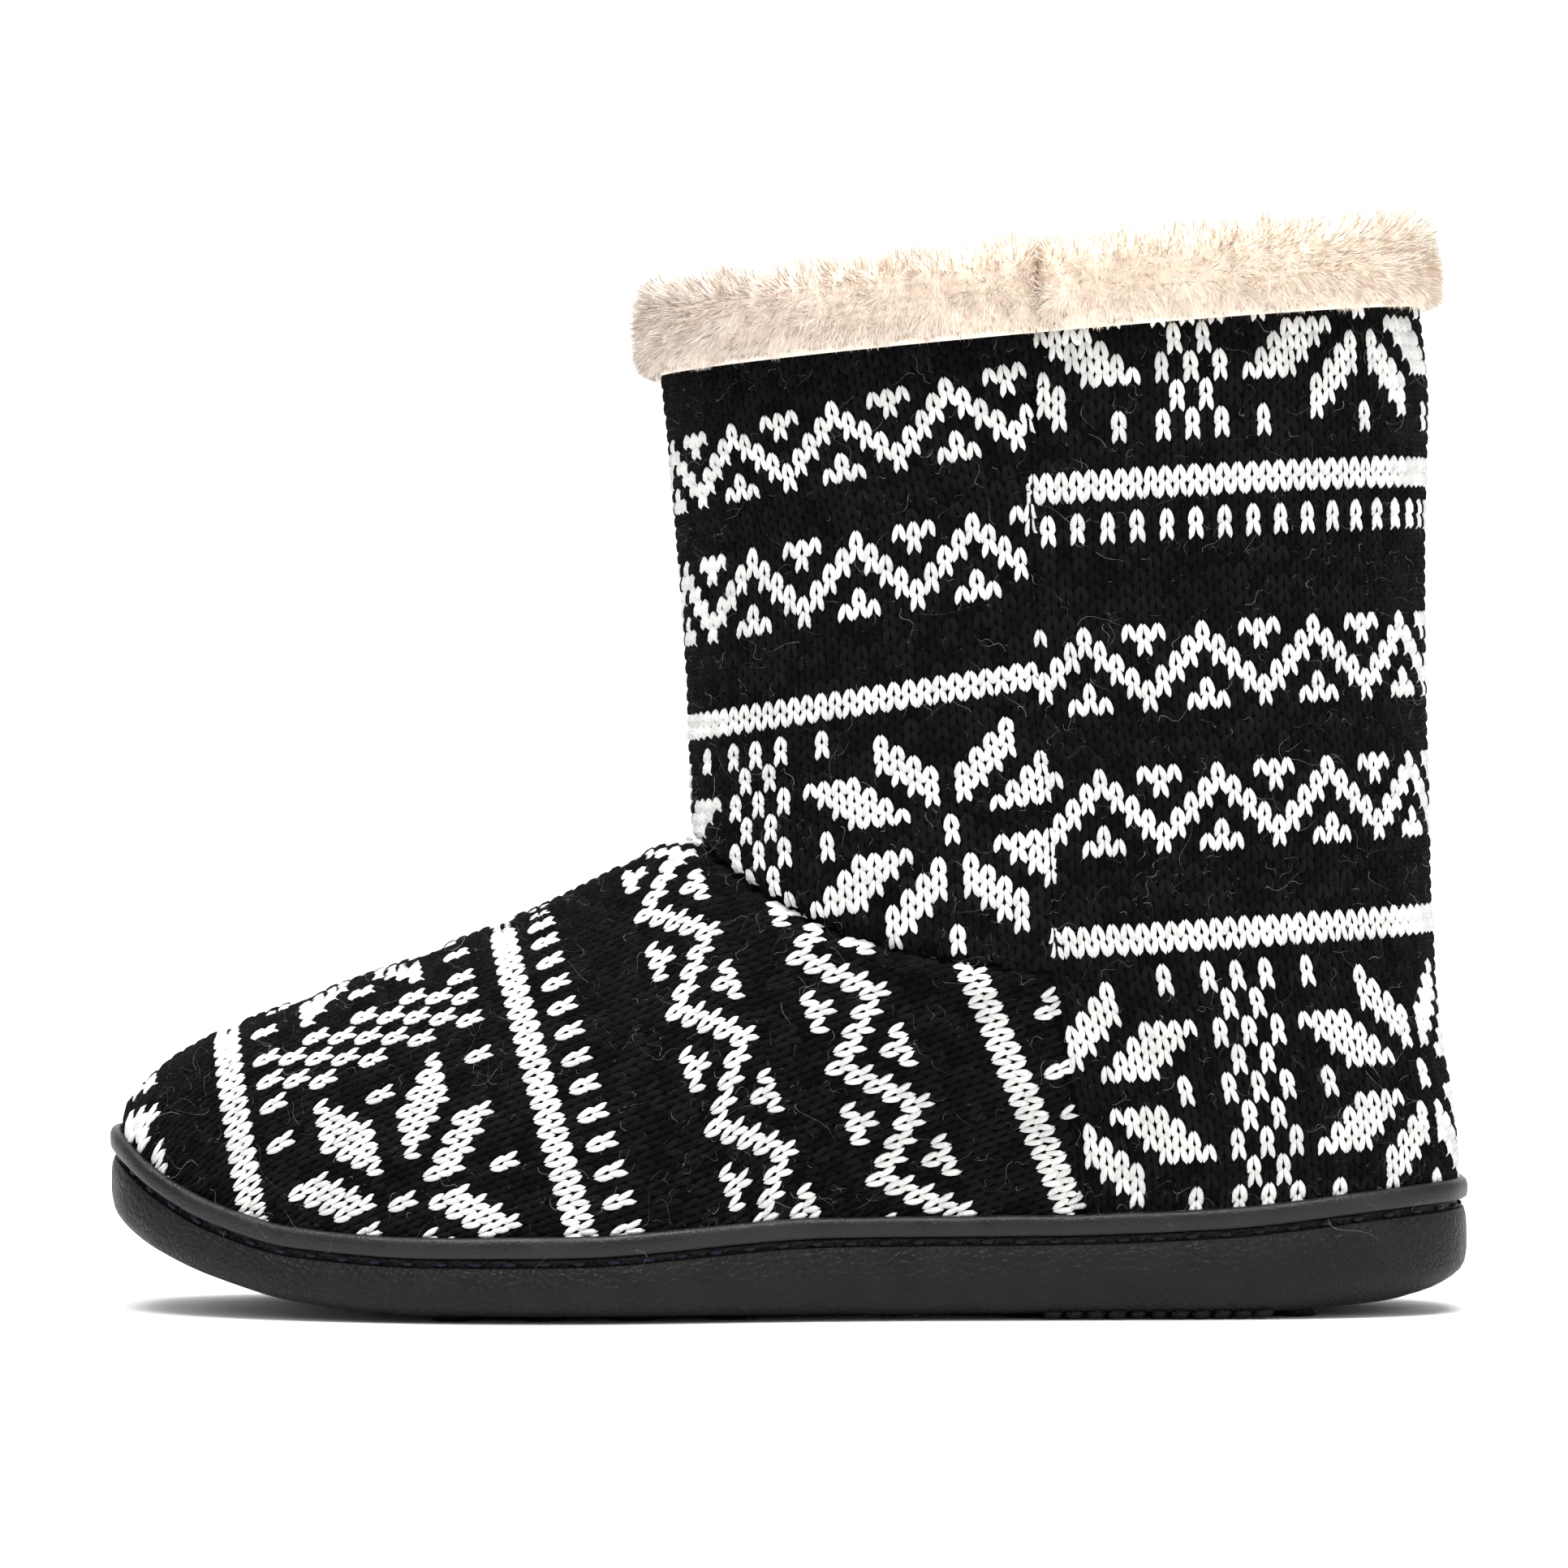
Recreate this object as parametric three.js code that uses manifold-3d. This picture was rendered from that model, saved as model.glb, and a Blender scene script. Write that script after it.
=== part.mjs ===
// A slipper boot: a knitted upper on a moulded rubber sole, with a plush insole and a fold-over cuff of
// faux fur.
// Left foot. +X runs to the toe, +Y to the outer side of the foot and +Z up, with the tread on Z = 0.
import * as THREE from 'three';
import Module from 'manifold-3d';
import { mergeVertices } from 'three/addons/utils/BufferGeometryUtils.js';

const wasm = await Module();
wasm.setup();

// Driving sizes in millimetres.
const soleLength = 258;
const ballWidth = 98;
const heelWidth = 72;
const flange = 2; // how far the sole stands out past the upper
const clearance = 0.3; // between pieces that touch

const heelEdge = 20; // height of the sole's top edge at the back of the heel, above its underside
const ballEdge = 10.5; // the same at the ball
const toeEdge = 29.4; // the same at the toe tip
const toeSpring = 16; // rise of the underside at the toe tip
const heelBevel = 2.6; // rise of the underside at the back of the heel
const heelRound = 6; // extra rounding under the back of the heel
const treadDepth = 1.3;
const treadBarWidth = 8;
const treadBarPitch = 17;
const treadInset = 12; // from the sole's side to the ends of the tread bars
const treadEmbed = 2; // how far the bars reach into the sole
const barSegments = 5; // of the round ends of the bars
const heelRoundTop = 0.4; // where the heel's extra rounding ends, as a share of the side's height
const archRise = 2.4; // hollow under the inner side of the waist
const channelDepth = 1.2; // stitch channel under the welt
const channelHeight = 1.4;

const weltHeight = 4.3;
const weltThickness = 1.9;
const insoleThickness = 5;

const instepHeight = 89.5; // front of the ankle crease
const ankleHeight = 64; // back of the ankle crease ring
const ankleDepth = 140.5; // front to back at the ankle crease
const ankleWidth = 83;
const collarHeight = 200; // top of the knitted wall at the back
const collarDrop = 12.6; // how much lower that wall is at the front
const collarWidth = 93;
const frontLean = 6; // forward lean of the shaft's front
const heelTuck = 6.4; // how far the shaft's back leans in over the heel
const upperWall = 3;
const creaseDepth = 1.8;
const creasePuff = 0.9; // how far the vamp swells just below the crease
const sideSeamTop = 83; // from the back of the sole to the side seam at the collar
const sideSeamFoot = 73; // the same at the sole
const sideSeamDepth = 1;
const sideSeamHalf = 1.6;
const puffBelow = 0.9; // how far below the crease the swell is fullest, in ring levels
const puffSpan = 0.55; // half height of that swell, in ring levels
const creaseFade = 0.12; // share of the ankle's depth over which the crease grows from the side seam

const cuffFlap = 9.8; // outer flap of the cuff below the wall's top
const cuffReach = 21; // inner flap below the wall's top
const cuffPile = 4.7; // thickness of the fur
const cuffClearance = 0.42; // from the fur's backing to the curved wall
const lockLength = 7.6;
const lockWidth = 12.4;
const lockThickness = 3.6;
const lockRoot = 2.2; // length of a lock sunk in the fur
const lockPitch = 13.6;
const lockMargin = 0.9; // from the cuff's ends to the first and last lock, in lock widths
const lockShift = 0.4; // how far a lock strays from its even place, in steps
const lockLean = 0.9; // sideways lean of a lock
const lockSides = 4;
const frontSeed = 1;
const backSeed = 500;

// Columns of the upper on each side: back to side seam, and side seam to front.
const backColumns = 10;
const frontColumns = 19;
const sideColumns = backColumns + frontColumns + 2;
const aroundColumns = 2 * sideColumns;
const sideSamples = 160;

const { lerp, clamp, smoothstep } = THREE.MathUtils;

// The sole's outline: half width as shares of half the heel width and half the ball width, and the middle
// line's drift to the outer side as a share of the ball width, along the sole from heel to toe.
const outlineRows = [
  { at: 0.0, heel: 0.94, ball: 0.0, drift: 0.0 },
  { at: 0.12, heel: 0.98, ball: 0.0, drift: 0.0 },
  { at: 0.26, heel: 0.78, ball: 0.14, drift: 0.012 },
  { at: 0.42, heel: 0.35, ball: 0.42, drift: 0.052 },
  { at: 0.55, heel: 0.08, ball: 0.75, drift: 0.042 },
  { at: 0.66, heel: 0.0, ball: 0.95, drift: 0.02 },
  { at: 0.75, heel: 0.0, ball: 0.99, drift: 0.0 },
  { at: 0.85, heel: 0.0, ball: 0.94, drift: -0.02 },
  { at: 0.93, heel: 0.0, ball: 0.86, drift: -0.037 },
  { at: 1.0, heel: 0.0, ball: 0.78, drift: -0.05 },
];

// The sole's top edge and underside along the sole, as shares of the heel, toe, spring, bevel and arch
// heights.
const soleLineRows = [
  { at: 0.0, heelTop: 1.0, toeTop: 0.0, spring: 0.0, bevel: 1.0, arch: 0.0 },
  { at: 0.06, heelTop: 0.86, toeTop: 0.0, spring: 0.0, bevel: 0.5, arch: 0.0 },
  { at: 0.18, heelTop: 0.52, toeTop: 0.0, spring: 0.0, bevel: 0.0, arch: 0.0 },
  { at: 0.3, heelTop: 0.4, toeTop: 0.0, spring: 0.0, bevel: 0.0, arch: 0.7 },
  { at: 0.47, heelTop: 0.37, toeTop: 0.0, spring: 0.0, bevel: 0.0, arch: 1.0 },
  { at: 0.66, heelTop: 0.02, toeTop: 0.0, spring: 0.0, bevel: 0.0, arch: 0.0 },
  { at: 0.76, heelTop: 0.0, toeTop: 0.0, spring: 0.0, bevel: 0.0, arch: 0.0 },
  { at: 0.86, heelTop: 0.0, toeTop: 0.08, spring: 0.13, bevel: 0.0, arch: 0.0 },
  { at: 0.92, heelTop: 0.0, toeTop: 0.29, spring: 0.37, bevel: 0.0, arch: 0.0 },
  { at: 0.965, heelTop: 0.0, toeTop: 0.6, spring: 0.66, bevel: 0.0, arch: 0.0 },
  { at: 1.0, heelTop: 0.0, toeTop: 1.0, spring: 1.0, bevel: 0.0, arch: 0.0 },
];

// The upper's rings, from its lasted edge (0) over the ankle crease (9) to the top of the wall (15).
const creaseLevel = 9;
const topLevel = 15;

// Where each ring runs. ahead: front point between the shaft's front (0) and the toe (1)
// lean: share of frontLean
// frontRise, backRise: 0 at the sole's edge, 1 at the crease, 2 at the collar
// tuck: share of heelTuck; bow: how late the ring climbs to the front
const ringPlaceRows = [
  { at: 0, ahead: 1.0, lean: 0, frontRise: 0.0, backRise: 0.0, tuck: 0.0, bow: 1.0 },
  { at: 1, ahead: 1.0, lean: 0, frontRise: 0.068, backRise: 0.094, tuck: 0.0, bow: 1.0 },
  { at: 2, ahead: 0.988, lean: 0, frontRise: 0.136, backRise: 0.24, tuck: 0.05, bow: 1.3 },
  { at: 3, ahead: 0.938, lean: 0, frontRise: 0.242, backRise: 0.38, tuck: 0.15, bow: 1.7 },
  { at: 4, ahead: 0.853, lean: 0, frontRise: 0.347, backRise: 0.52, tuck: 0.28, bow: 2.3 },
  { at: 5, ahead: 0.68, lean: 0, frontRise: 0.479, backRise: 0.65, tuck: 0.42, bow: 3.0 },
  { at: 6, ahead: 0.452, lean: 0, frontRise: 0.637, backRise: 0.77, tuck: 0.53, bow: 3.8 },
  { at: 7, ahead: 0.224, lean: 0, frontRise: 0.816, backRise: 0.87, tuck: 0.61, bow: 4.5 },
  { at: 8, ahead: 0.072, lean: 0, frontRise: 0.952, backRise: 0.95, tuck: 0.68, bow: 5.0 },
  { at: 9, ahead: 0.0, lean: 0, frontRise: 1.0, backRise: 1.0, tuck: 0.7, bow: 5.2 },
  { at: 10, ahead: 0.0, lean: 0.03, frontRise: 1.055, backRise: 1.09, tuck: 0.77, bow: 4.2 },
  { at: 11, ahead: 0.0, lean: 0.1, frontRise: 1.244, backRise: 1.28, tuck: 0.92, bow: 2.6 },
  { at: 12, ahead: 0.0, lean: 0.42, frontRise: 1.55, backRise: 1.57, tuck: 1.0, bow: 1.5 },
  { at: 13, ahead: 0.0, lean: 0.75, frontRise: 1.78, backRise: 1.79, tuck: 0.92, bow: 1.1 },
  { at: 14, ahead: 0.0, lean: 0.95, frontRise: 1.9, backRise: 1.91, tuck: 1.14, bow: 1.0 },
  { at: 15, ahead: 0.0, lean: 1.0, frontRise: 2.0, backRise: 2.0, tuck: 1.45, bow: 1.0 },
];

// The form of each ring in plan. foot: share of the sole's outline; width: 0 at the ankle, 1 at the collar
// frontRound, backRound: squareness of the ends
const ringFormRows = [
  { at: 0, foot: 1.0, width: 0.0, frontRound: 3.7, backRound: 3.0 },
  { at: 1, foot: 1.0, width: 0.0, frontRound: 3.7, backRound: 3.0 },
  { at: 2, foot: 0.87, width: 0.0, frontRound: 3.6, backRound: 2.95 },
  { at: 3, foot: 0.68, width: 0.0, frontRound: 3.4, backRound: 2.9 },
  { at: 4, foot: 0.48, width: 0.0, frontRound: 3.1, backRound: 2.8 },
  { at: 5, foot: 0.3, width: 0.0, frontRound: 2.8, backRound: 2.7 },
  { at: 6, foot: 0.16, width: 0.0, frontRound: 2.6, backRound: 2.6 },
  { at: 7, foot: 0.06, width: 0.0, frontRound: 2.4, backRound: 2.5 },
  { at: 8, foot: 0.01, width: 0.0, frontRound: 2.28, backRound: 2.45 },
  { at: 9, foot: 0.0, width: 0.0, frontRound: 2.2, backRound: 2.4 },
  { at: 10, foot: 0.0, width: 0.05, frontRound: 2.2, backRound: 2.4 },
  { at: 11, foot: 0.0, width: 0.22, frontRound: 2.25, backRound: 2.35 },
  { at: 12, foot: 0.0, width: 0.58, frontRound: 2.25, backRound: 2.3 },
  { at: 13, foot: 0.0, width: 0.85, frontRound: 2.25, backRound: 2.3 },
  { at: 14, foot: 0.0, width: 0.96, frontRound: 2.25, backRound: 2.3 },
  { at: 15, foot: 0.0, width: 1.0, frontRound: 2.25, backRound: 2.3 },
];
const ringLevels = [0, 1, 1.8, 2.7, 3.7, 4.8, 5.9, 7, 7.9, 8.6, 9, 9.4, 10.2, 11.1, 12.1, 13.1, 14.1, 15];

// The sole's side from its underside to the stitch channel: out is a share of the flange, past the upper,
// and up a share of the side's height under the channel.
const soleSideRows = [
  { out: -1.5, up: 0.0 },
  { out: -0.2, up: 0.08 },
  { out: 0.72, up: 0.3 },
  { out: 1.0, up: 0.58 },
  { out: 0.96, up: 0.86 },
  { out: 0.7, up: 1.0 },
];

// Groups of tread bars: where the first one stands along the sole, and how many follow towards the toe.
const treadRows = [
  { from: 0.13, bars: 4 },
  { from: 0.545, bars: 4 },
];

// The welt's section: out as a share of its thickness, and up as a share of its height.
const weltRows = [
  { out: 0.62, up: 0.0 },
  { out: 0.98, up: 0.2 },
  { out: 1.0, up: 0.6 },
  { out: 0.86, up: 0.86 },
  { out: 0.45, up: 1.0 },
  { out: 0.0, up: 0.97 },
  { out: 0.0, up: 0.0 },
];

// The insole's side: how far it stands in from the wall, and up as a share of its thickness.
const insoleRows = [
  { inset: 1, up: 0 },
  { inset: 0.2, up: 0.25 },
  { inset: 0.8, up: 0.7 },
  { inset: 2.4, up: 1 },
];

// The cuff's section over the wall's top edge. pile: share of the fur's thickness, away from the wall's
// outer or inner face; above: share of the pile, over the edge; below: share of that face's flap, under it
const cuffRows = [
  { face: 'outer', pile: 0.0, below: 1.0 },
  { face: 'outer', pile: 0.55, below: 1.07 },
  { face: 'outer', pile: 0.94, below: 0.8 },
  { face: 'outer', pile: 1.0, below: 0.4 },
  { face: 'outer', pile: 0.86, above: 0.3 },
  { face: 'outer', pile: 0.3, above: 0.88 },
  { face: 'inner', pile: 0.2, above: 0.92 },
  { face: 'inner', pile: 0.86, above: 0.3 },
  { face: 'inner', pile: 1.0, below: 0.4 },
  { face: 'inner', pile: 0.8, below: 0.86 },
  { face: 'inner', pile: 0.0, below: 1.0 },
  { face: 'inner', pile: 0.0, above: 0.0 },
  { face: 'outer', pile: 0.0, above: 0.0 },
];

// Rows of fur locks: where they root on the section, and how far they fall (negative) along the wall.
const lockRows = [
  { section: 1.35, lift: -2.6 },
  { section: 2.6, lift: -2.6 },
  { section: 4.1, lift: -1.8 },
];

// A smooth curve through one column of a table, with no overshoot between its rows.
function column(rows, key) {
  const x = rows.map((row) => row.at);
  const y = rows.map((row) => row[key]);
  const slope = x.slice(1).map((value, i) => (y[i + 1] - y[i]) / (value - x[i]));
  const tangent = y.map((value, i) => {
    if (i === 0) return slope[0];
    if (i === y.length - 1) return slope[i - 1];
    const product = slope[i - 1] * slope[i];
    return product <= 0 ? 0 : (2 * product) / (slope[i - 1] + slope[i]);
  });
  return (at) => {
    const t = clamp(at, x[0], x[x.length - 1]);
    let i = 0;
    while (i < x.length - 2 && t > x[i + 1]) i++;
    const span = x[i + 1] - x[i];
    const u = (t - x[i]) / span;
    const bend = u * u * (3 - 2 * u);
    const start = u * (1 - u) * (1 - u);
    const end = u * u * (1 - u);
    return y[i] + (y[i + 1] - y[i]) * bend + span * (tangent[i] * start - tangent[i + 1] * end);
  };
}

const columnsOf = (rows) =>
  Object.fromEntries(Object.keys(rows[0]).map((key) => [key, column(rows, key)]));

const outline = columnsOf(outlineRows);
const soleLine = columnsOf(soleLineRows);
const ringShape = { ...columnsOf(ringPlaceRows), ...columnsOf(ringFormRows) };

const heelX = -soleLength / 2;
const toeX = soleLength / 2;
const shareAlong = (x) => clamp((x - heelX) / soleLength, 0, 1);

const soleHalf = (share) =>
  (outline.heel(share) * heelWidth + outline.ball(share) * ballWidth) / 2;
const soleDrift = (share) => outline.drift(share) * ballWidth;
const undersideZ = (share) =>
  treadDepth + soleLine.spring(share) * toeSpring + soleLine.bevel(share) * heelBevel;
const edgeZ = (share) =>
  treadDepth + ballEdge +
  (heelEdge - ballEdge) * soleLine.heelTop(share) + (toeEdge - ballEdge) * soleLine.toeTop(share);

// How far the sole's top edge sags below the straight line from its heel end to its toe end.
const edgeSag = (share) => edgeZ(share) - lerp(edgeZ(0), edgeZ(1), share);

const sideSeamX = (z) =>
  heelX + lerp(sideSeamFoot, sideSeamTop, clamp((z - edgeZ(0)) / (collarHeight - edgeZ(0)), 0, 1));

// One ring of the upper's outer face, by side (-1 inner, 1 outer) and a share from back to front.
function ringCurve(level) {
  const shape = Object.fromEntries(Object.entries(ringShape).map(([key, curve]) => [key, curve(level)]));
  const ankleBackX = heelX + flange + heelTuck * ringShape.tuck(creaseLevel);
  const shaftFrontX = ankleBackX + ankleDepth;
  const backX = heelX + flange + shape.tuck * heelTuck;
  const frontX = lerp(shaftFrontX, toeX - flange, shape.ahead) + shape.lean * frontLean;
  const frontStops = [edgeZ(1) + clearance, instepHeight, collarHeight - collarDrop];
  const backStops = [edgeZ(0) + clearance, ankleHeight, collarHeight];
  const between = (stops, rise) =>
    rise <= 1 ? lerp(stops[0], stops[1], rise) : lerp(stops[1], stops[2], rise - 1);
  const frontZ = between(frontStops, shape.frontRise);
  const backZ = between(backStops, shape.backRise);
  const shaftHalf = lerp(ankleWidth, collarWidth, shape.width) / 2;
  const middleX = ankleBackX + ankleDepth / 2;
  return (side, share) => {
    const along = -Math.cos(Math.PI * share);
    const x = middleX + along * (along > 0 ? frontX - middleX : middleX - backX);
    const round = along > 0 ? shape.frontRound : shape.backRound;
    const cap = Math.pow(Math.max(0, 1 - Math.pow(Math.abs(along), round)), 1 / round);
    const s = shareAlong(x);
    const half = lerp(shaftHalf, soleHalf(s) - flange, shape.foot) * cap;
    const y = soleDrift(s) * shape.foot + side * half;
    const t = clamp((x - backX) / (frontX - backX), 0, 1);
    const z = lerp(backZ, frontZ, Math.pow(t, shape.bow)) + shape.foot * edgeSag(t);
    return new THREE.Vector3(x, y, z);
  };
}

// Distances along a polyline to each of its points.
function reachOf(path) {
  const reach = [0];
  for (let i = 1; i < path.length; i++) reach.push(reach[i - 1] + path[i].distanceTo(path[i - 1]));
  return reach;
}

// The segment of a polyline at a distance along it, and the share of that segment.
function segmentAt(reach, distance) {
  let k = 0;
  while (k < reach.length - 2 && reach[k + 1] < distance) k++;
  const span = reach[k + 1] - reach[k] || 1;
  return { k, share: clamp((distance - reach[k]) / span, 0, 1) };
}

function pointsAt(path, distances) {
  const reach = reachOf(path);
  return distances.map((distance) => {
    const { k, share } = segmentAt(reach, distance);
    return path[k].clone().lerp(path[k + 1], share);
  });
}

// One side of a ring, resampled from back to front with a column on the side seam.
function ringSide(curve, side) {
  const path = Array.from({ length: sideSamples + 1 }, (_, i) => curve(side, i / sideSamples));
  const reach = reachOf(path);
  const total = reach[sideSamples];
  const crossing = path.findIndex((p) => p.x >= sideSeamX(p.z));
  const before = path[crossing - 1];
  const gapBefore = sideSeamX(before.z) - before.x;
  const gapAfter = path[crossing].x - sideSeamX(path[crossing].z);
  const seam = lerp(reach[crossing - 1], reach[crossing], gapBefore / (gapBefore + gapAfter));
  const distances = [];
  for (let i = 0; i <= backColumns; i++) distances.push(((seam - sideSeamHalf) * i) / backColumns);
  distances.push(seam);
  for (let i = 0; i <= frontColumns; i++) {
    distances.push(lerp(seam + sideSeamHalf, total, i / frontColumns));
  }
  return pointsAt(path, distances);
}

// A whole ring: back, inner side, front, outer side.
function ring(level) {
  const curve = ringCurve(level);
  const inner = ringSide(curve, -1);
  const outer = ringSide(curve, 1);
  return [...inner, ...outer.slice(1, -1).reverse()];
}

const wrap = (i) => (i + aroundColumns) % aroundColumns;
const seamColumns = [backColumns + 1, aroundColumns - backColumns - 1];

// Outward normals of a stack of rings.
function normalsOf(rings) {
  return rings.map((points, k) =>
    points.map((point, i) => {
      const around = points[wrap(i + 1)].clone().sub(points[wrap(i - 1)]);
      const above = rings[Math.min(k + 1, rings.length - 1)][i];
      const below = rings[Math.max(k - 1, 0)][i];
      return around.cross(above.clone().sub(below)).normalize();
    }),
  );
}

// The upper's outer face with its ankle crease, the swell below it and the side seams.
function upperRings() {
  const base = ringLevels.map(ring);
  const normals = normalsOf(base);
  return base.map((points, k) =>
    points.map((point, i) => {
      const level = ringLevels[k];
      const ahead = smoothstep(point.x - sideSeamX(point.z), 0, ankleDepth * creaseFade);
      const crease = level === creaseLevel ? -creaseDepth : 0;
      const swell = creasePuff * Math.exp(-(((level - creaseLevel + puffBelow) / puffSpan) ** 2));
      const seam = seamColumns.includes(i) && level > 0 ? -sideSeamDepth : 0;
      const push = ahead * (crease + swell) + seam;
      return point.clone().addScaledVector(normals[k][i], push);
    }),
  );
}

// A closed surface from a cyclic list of closed rings.
function ringBand(rings, count) {
  const positions = rings.flat().flatMap((p) => [p.x, p.y, p.z]);
  const faces = [];
  rings.forEach((_, k) => {
    const next = (k + 1) % rings.length;
    for (let i = 0; i < count; i++) {
      const j = (i + 1) % count;
      faces.push(k * count + i, k * count + j, next * count + j);
      faces.push(k * count + i, next * count + j, next * count + i);
    }
  });
  return solid(positions, faces);
}

// A solid from a stack of rings, closed below and above by strips from side to side.
function ringStack(rings, count) {
  const positions = rings.flat().flatMap((p) => [p.x, p.y, p.z]);
  const faces = [];
  for (let k = 0; k < rings.length - 1; k++) {
    for (let i = 0; i < count; i++) {
      const j = (i + 1) % count;
      faces.push(k * count + i, k * count + j, (k + 1) * count + j);
      faces.push(k * count + i, (k + 1) * count + j, (k + 1) * count + i);
    }
  }
  const top = (rings.length - 1) * count;
  for (let i = 0; i < count / 2; i++) {
    const strip = [i, i + 1, count - i - 1, (count - i) % count];
    const cuts = [[0, 1, 2], [0, 2, 3]].map((cut) => cut.map((n) => strip[n]));
    cuts.filter((cut) => new Set(cut).size === 3).forEach(([a, b, c]) => {
      faces.push(top + a, top + b, top + c);
      faces.push(c, b, a);
    });
  }
  return solid(positions, faces);
}

function solid(positions, faces) {
  const vertProperties = new Float32Array(positions);
  const triVerts = new Uint32Array(faces);
  return new wasm.Manifold(new wasm.Mesh({ numProp: 3, vertProperties, triVerts }));
}

function solidOf(geometry) {
  const plain = new THREE.BufferGeometry();
  plain.setAttribute('position', geometry.getAttribute('position'));
  if (geometry.index) plain.setIndex(geometry.index);
  const merged = mergeVertices(plain, 1e-4);
  return solid(merged.getAttribute('position').array, merged.index.array);
}

function meshOf(name, made, material) {
  const { vertProperties, triVerts } = made.getMesh();
  const geometry = new THREE.BufferGeometry();
  geometry.setAttribute('position', new THREE.BufferAttribute(new Float32Array(vertProperties), 3));
  geometry.setIndex(new THREE.BufferAttribute(new Uint32Array(triVerts), 1));
  geometry.computeVertexNormals();
  const mesh = new THREE.Mesh(geometry, material);
  mesh.name = name;
  return mesh;
}

// The line where the upper meets the sole, with its outward directions.
const lastedEdge = ring(0);
const lastedOut = lastedEdge.map((point, i) => {
  const around = lastedEdge[wrap(i + 1)].clone().sub(lastedEdge[wrap(i - 1)]);
  return new THREE.Vector3(around.y, -around.x, 0).normalize();
});
const edgePoint = (i, out) => lastedEdge[i].clone().addScaledVector(lastedOut[i], out);
const edgeTop = (i) => lastedEdge[i].z - clearance;
const edgeRing = (place) => lastedEdge.map((_, i) => place(i, shareAlong(lastedEdge[i].x)));

function outsole() {
  const rings = soleSideRows.map(({ out, up }) =>
    edgeRing((i, share) => {
      const rounded = heelRound * soleLine.bevel(share) * Math.max(0, 1 - up / heelRoundTop) ** 2;
      const point = edgePoint(i, out * flange - rounded);
      const inward = clamp((soleDrift(share) - point.y) / soleHalf(share), 0, 1);
      const hollow = archRise * soleLine.arch(share) * inward;
      return point.setZ(lerp(undersideZ(share) + hollow, edgeTop(i) - channelHeight, up));
    }),
  );
  const channelOut = soleSideRows.at(-1).out * flange - channelDepth;
  [channelHeight, 0].forEach((drop) => {
    rings.push(edgeRing((i) => edgePoint(i, channelOut).setZ(edgeTop(i) - drop)));
  });
  return treadBars().reduce((made, bar) => made.add(bar), ringStack(rings, aroundColumns));
}

// Cross bars under the forefoot and the heel, with round ends, their flats on the floor.
function treadBars() {
  return treadRows.flatMap(({ from, bars }) =>
    Array.from({ length: bars }, (_, n) => {
      const x = heelX + from * soleLength + n * treadBarPitch;
      const share = shareAlong(x);
      const half = soleHalf(share) - treadInset - treadBarWidth / 2;
      const shape = new THREE.Shape();
      shape.absarc(0, half, treadBarWidth / 2, 0, Math.PI, false);
      shape.absarc(0, -half, treadBarWidth / 2, Math.PI, 2 * Math.PI, false);
      const depth = treadDepth + treadEmbed;
      const options = { depth, bevelEnabled: false, curveSegments: barSegments };
      const bar = new THREE.ExtrudeGeometry(shape, options);
      bar.translate(x, soleDrift(share), 0);
      return solidOf(bar);
    }),
  );
}

function welt() {
  const rings = weltRows.map(({ out, up }) =>
    edgeRing((i) =>
      edgePoint(i, clearance + out * weltThickness).setZ(edgeTop(i) + lerp(clearance, weltHeight, up)),
    ),
  );
  return ringBand(rings, aroundColumns);
}

function insole() {
  const lining = upperWall + 2 * clearance;
  const rings = insoleRows.map(({ inset, up }) =>
    edgeRing((i) =>
      edgePoint(i, -lining - inset).setZ(edgeTop(i) + clearance + up * insoleThickness),
    ),
  );
  return ringStack(rings, aroundColumns);
}

const outerFace = upperRings();
const outerNormals = normalsOf(outerFace);
[outerNormals.at(0), outerNormals.at(-1)].flat().forEach((normal) => normal.setZ(0).normalize());

function upper() {
  const innerFace = outerFace.map((points, k) =>
    points.map((point, i) => point.clone().addScaledVector(outerNormals[k][i], -upperWall)),
  );
  return ringBand([...outerFace, ...innerFace.reverse()], aroundColumns);
}

// A place on the wall near its top, a distance below the edge along the wall, with the wall's normal there.
function wallPlace(i, below) {
  const path = outerFace.map((points) => points[i]).reverse();
  const normals = outerNormals.map((points) => points[i]).reverse();
  let gone = 0;
  let k = 0;
  while (k < path.length - 2 && gone + path[k].distanceTo(path[k + 1]) < below) {
    gone += path[k].distanceTo(path[k + 1]);
    k++;
  }
  const t = (below - gone) / path[k].distanceTo(path[k + 1]);
  return {
    point: path[k].clone().lerp(path[k + 1], t),
    normal: normals[k].clone().lerp(normals[k + 1], Math.max(0, t)).normalize(),
  };
}

// A repeatable wobble between 0 and 1.
const wobble = (n) => {
  const value = Math.sin(n * 12.9898) * 43758.5453;
  return value - Math.floor(value);
};

function cuffPoint(i, row) {
  const outer = row.face === 'outer';
  const flap = outer ? cuffFlap : cuffReach;
  const drop = row.below === undefined ? 0 : row.below * flap;
  const rise = row.above === undefined ? 0 : row.above * cuffPile;
  const { point, normal } = wallPlace(i, drop);
  const away = cuffClearance + row.pile * cuffPile;
  point.addScaledVector(normal, outer ? away : -upperWall - away);
  if (row.below === undefined) point.z += cuffClearance + rise;
  return point;
}

// One length of the cuff between the side seams, from its first to its last column.
function cuffLength(first, last) {
  const endGap = clearance / 2;
  const columns = [];
  for (let i = first; i <= last; i++) {
    const section = cuffRows.map((row) => cuffPoint(wrap(i), row));
    const next = i === first ? 1 : i === last ? -1 : 0;
    if (next) {
      section.forEach((point, n) => {
        const step = cuffPoint(wrap(i + next), cuffRows[n]).sub(point);
        point.addScaledVector(step.normalize(), endGap);
      });
    }
    columns.push(section);
  }
  return columns;
}

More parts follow.
